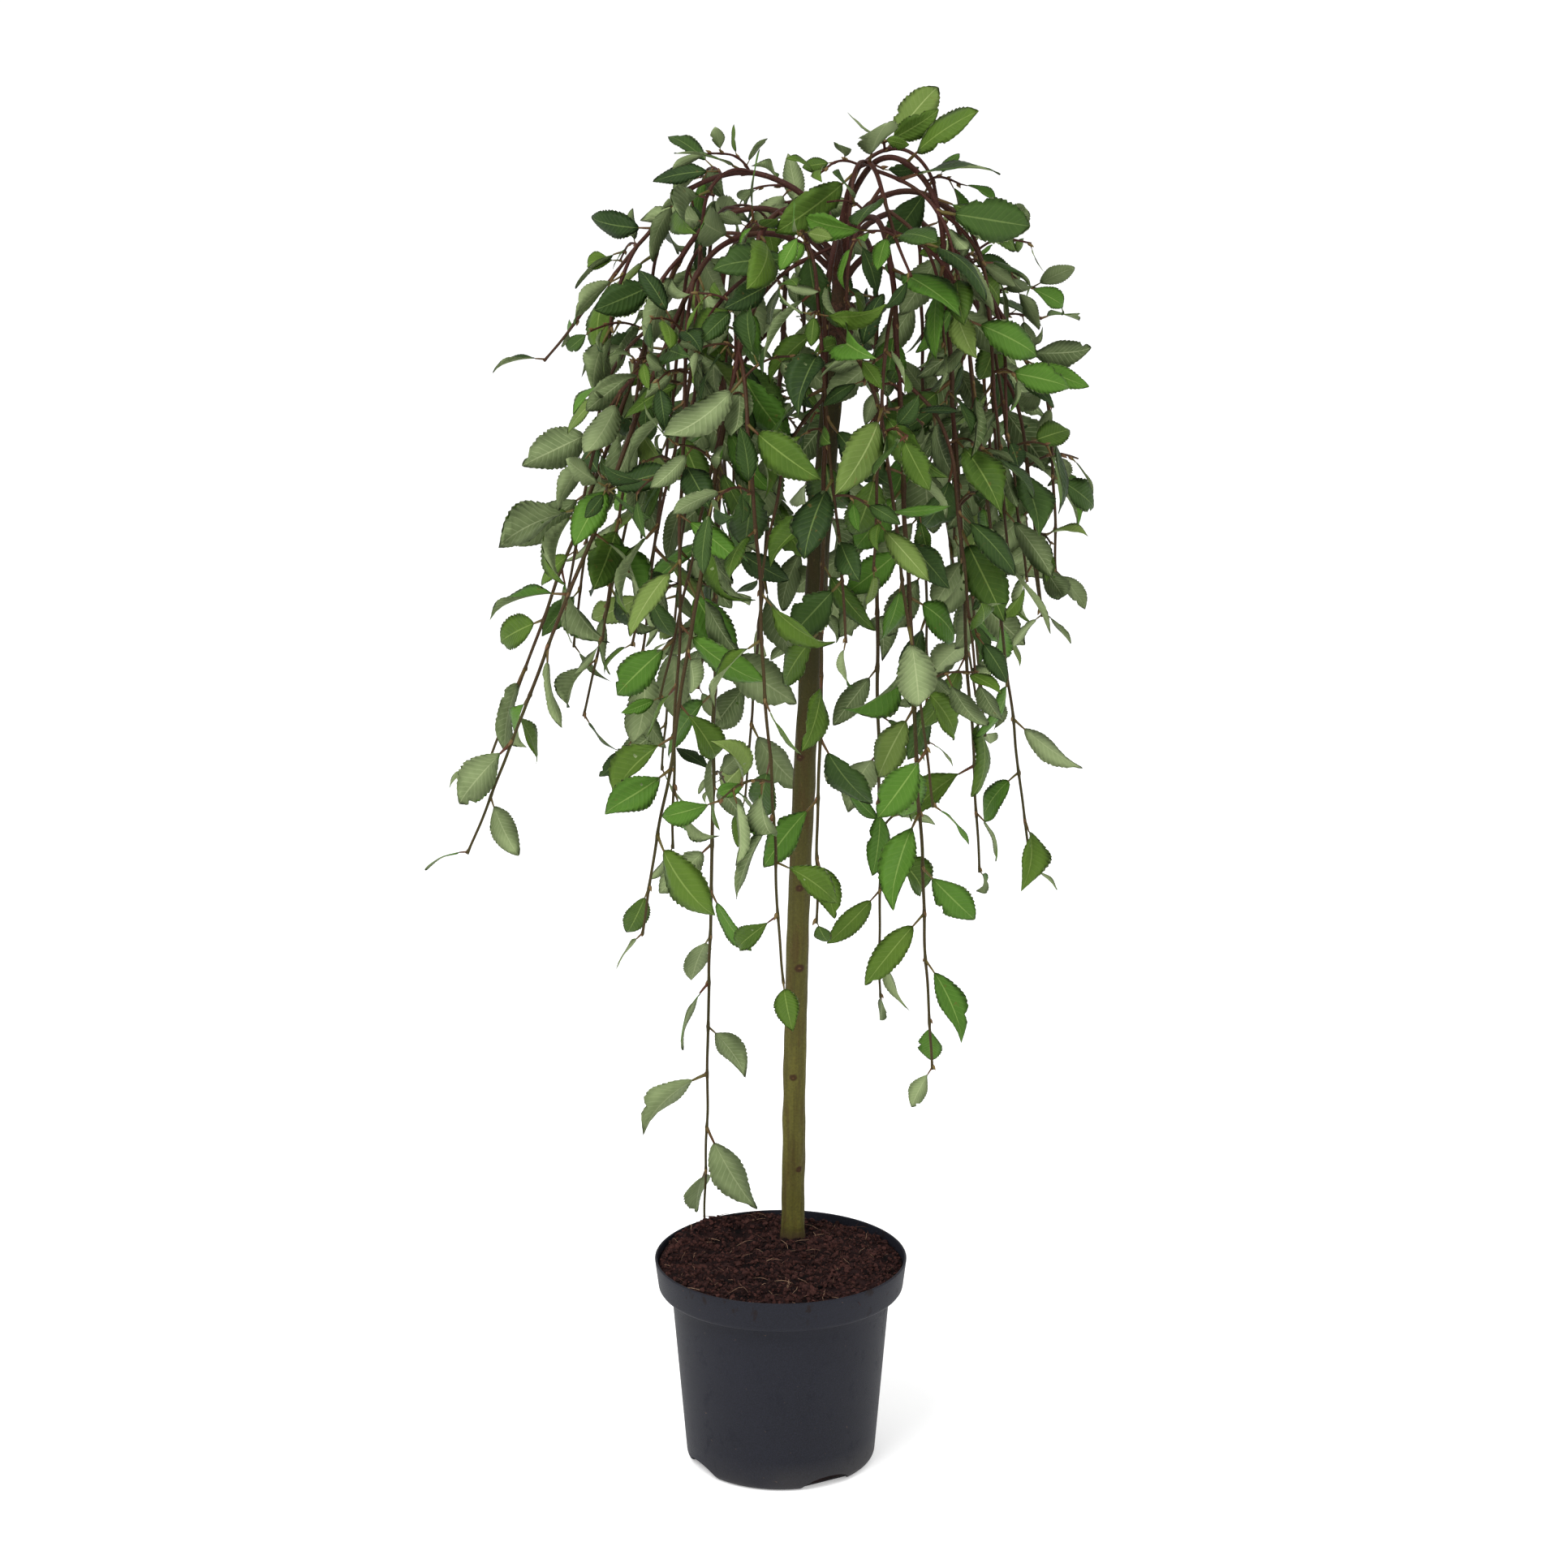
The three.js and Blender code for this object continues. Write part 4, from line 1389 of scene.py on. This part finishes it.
def compostMesh():
    edge = wallInside - compostSizes["clear"]
    rows = [(0, potShape["floor"] + 0.3)] + potInside(0.25)[:0:-1] + [(edge, potShape["height"] - 9)]
    for step in range(compostSizes["rings"]):
        rows.append((edge * (1 - (step + 1) / compostSizes["rings"]) ** 0.9, None))
    return latheMesh("compost_fill", rows, compostSizes["segments"], compostHeight)


def soilMaterial(name, colours, rough, rare=0.0):
    finish = Finish(name)
    broad, fine = finish.mottled(60.0, 500.0)
    finish.start(broad, colours[0], colours[1])
    finish.lay(colours[2], ranged(finish.tree, finish.attribute("tone"), rare, 1.0, 0, 0.8))
    finish.lay(colours[1], fine, 0.5)
    return finish.done(0.08, rough, (fine, 0.7, 0.001))


def crumbMesh(number):
    build = bmesh.new()
    bmesh.ops.create_icosphere(build, subdivisions=1, radius=0.5)
    for vert in build.verts:
        vert.co += noise.noise_vector(vert.co * 2.3 + Vector((number * 7.1, 0, 0))) * 0.3
        vert.co.x *= 1.25
        vert.co.z *= 0.75
    mesh = bpy.data.meshes.new(f"crumb{number}")
    build.to_mesh(mesh)
    build.free()
    return mesh


def fibreMesh(number):
    # a thin bent strand, 1 long
    draw = seededDraw(seeds["fibre"] + number)
    bend, lift = (draw() - 0.5) * 0.35, draw() * 0.1
    line = []
    for i in range(6):
        t = i / 5
        aside = bend * t * (1 - t) + 0.03 * math.sin(t * 9 + number)
        line.append(Vector((t - 0.5, aside, lift * 4 * t * (1 - t))))
    mesh = meshOf(f"fibre{number}", *tubeMesh(line, [0.009, 0.014, 0.016, 0.015, 0.012, 0.006], 4))
    mesh.shade_smooth()
    return mesh


def looseRows(values):
    # all over the compost, but not where the stem stands
    draw = seededDraw(values["seed"])
    edge = wallInside - compostSizes["wallClear"]
    rows = []
    while len(rows) < values["count"]:
        radius = edge * math.sqrt(draw())
        x, y = polar(draw() * circle, radius)
        size = between(values["sizes"], draw() ** 2)
        if math.hypot(x - stemFoot.x, y - stemFoot.y) < compostSizes["stemClear"]:
            continue
        point = Vector((x, y, compostHeight(x, y) + values["lift"] * size)) * mm
        turn = ((draw() - 0.5) * values["tilt"], (draw() - 0.5) * values["tilt"], draw() * circle)
        rows.append((point, turn, [size * mm] * 3, int(draw() * values["shapes"]), draw()))
    return rows


def makeCompost():
    fill = linked("compost_fill", compostMesh())
    fill.data.materials.append(soilMaterial("compost", compostSizes["colours"], 0.95))
    fill.data.shade_smooth()
    pieces = [fill]
    for kind, values, shapeOf in (("crumb", crumbs, crumbMesh), ("fibre", fibres, fibreMesh)):
        shapes = shapesCollection(kind + "Shapes", [shapeOf(number) for number in range(values["shapes"])])
        surface = soilMaterial(kind, values["colours"], values["rough"], values["rare"])
        inputs = {"Shapes": shapes, "Surface": surface}
        pieces.append(scattered(f"compost_{kind}s", looseRows(values), looseTree, inputs))
    return pieces


compostPieces = makeCompost()
print("compost made:", sum(len(piece.data.polygons) for piece in compostPieces), "faces")

# floor, light and view

studio = {
    "floor": 60,
    "glow": 0.3,
    "world": 0.78,
    "backdrop": 1.0,
    "target": (0, 0, 0.8),
    "key": ((-1.6, -2.2, 3.8), 2.6, 130),  # place, size and power
    "fill": ((2.6, -1.4, 2.2), 1.6, 20),
}
white = (1, 1, 1, 1)


def makeFloor():
    half = studio["floor"]
    corners = [(-half, -half, 0), (half, -half, 0), (half, half, 0), (-half, half, 0)]
    floor = linked("floor", meshOf("floor", corners, [(0, 1, 2, 3)]))
    paper = Finish("floor_paper")
    paper.start(noiseOf(paper.tree, paper.place, 3.0), (251, 251, 251), (254, 254, 254))
    setInputs(paper.tree, paper.shader, {"Emission Color": white, "Emission Strength": studio["glow"]})
    floor.data.materials.append(paper.done(0.5, 0.9))


def makeLamp(name):
    place, size, power = studio[name]
    data = bpy.data.lights.new(name, "AREA")
    data.shape = "DISK"
    data.size = size
    data.energy = power
    lamp = linked(name, data)
    lamp.location = place
    lamp.rotation_euler = (Vector(studio["target"]) - Vector(place)).to_track_quat("-Z", "Y").to_euler()


def makeWorld():
    world = bpy.data.worlds.new("studio")
    world.use_nodes = True
    tree = world.node_tree
    tree.nodes.clear()
    lighting, backdrop = (
        socketOf(tree, "ShaderNodeBackground", {0: white, 1: studio[name]}) for name in ("world", "backdrop")
    )
    seen = socketOf(tree, "ShaderNodeLightPath", output="Is Camera Ray")
    sky = socketOf(tree, "ShaderNodeMixShader", {0: seen, 1: lighting, 2: backdrop})
    addNode(tree, "ShaderNodeOutputWorld", {0: sky})
    scene.world = world


makeFloor()
makeWorld()
makeLamp("key")
makeLamp("fill")
scene.view_settings.view_transform = "Standard"
scene.view_settings.look = "None"
print("studio made")

# what rides, what it replaces and its finish

curtainNodes = ["curtain_" + bough["place"] for bough in boughs]
boughNodes = ["bough_" + bough["place"] for bough in boughs]
standsFor = [(potPiece, ["pot"], "pot_plastic")]
standsFor += [(piece, ["compost"], "compost") for piece in compostPieces]
standsFor += [(stemPiece, ["stem"], "bark"), (boughPiece, boughNodes, "shoots")]
standsFor += [(piece, curtainNodes, "shoots") for piece in twigPieces]
standsFor += [(piece, curtainNodes, "foliage") for piece in leafPieces]
for piece, nodes, finish in standsFor:
    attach(piece, "root")
    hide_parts(*nodes)

print("triangles:", sum(len(p.vertices) - 2 for piece, _, _ in standsFor for p in piece.data.polygons))
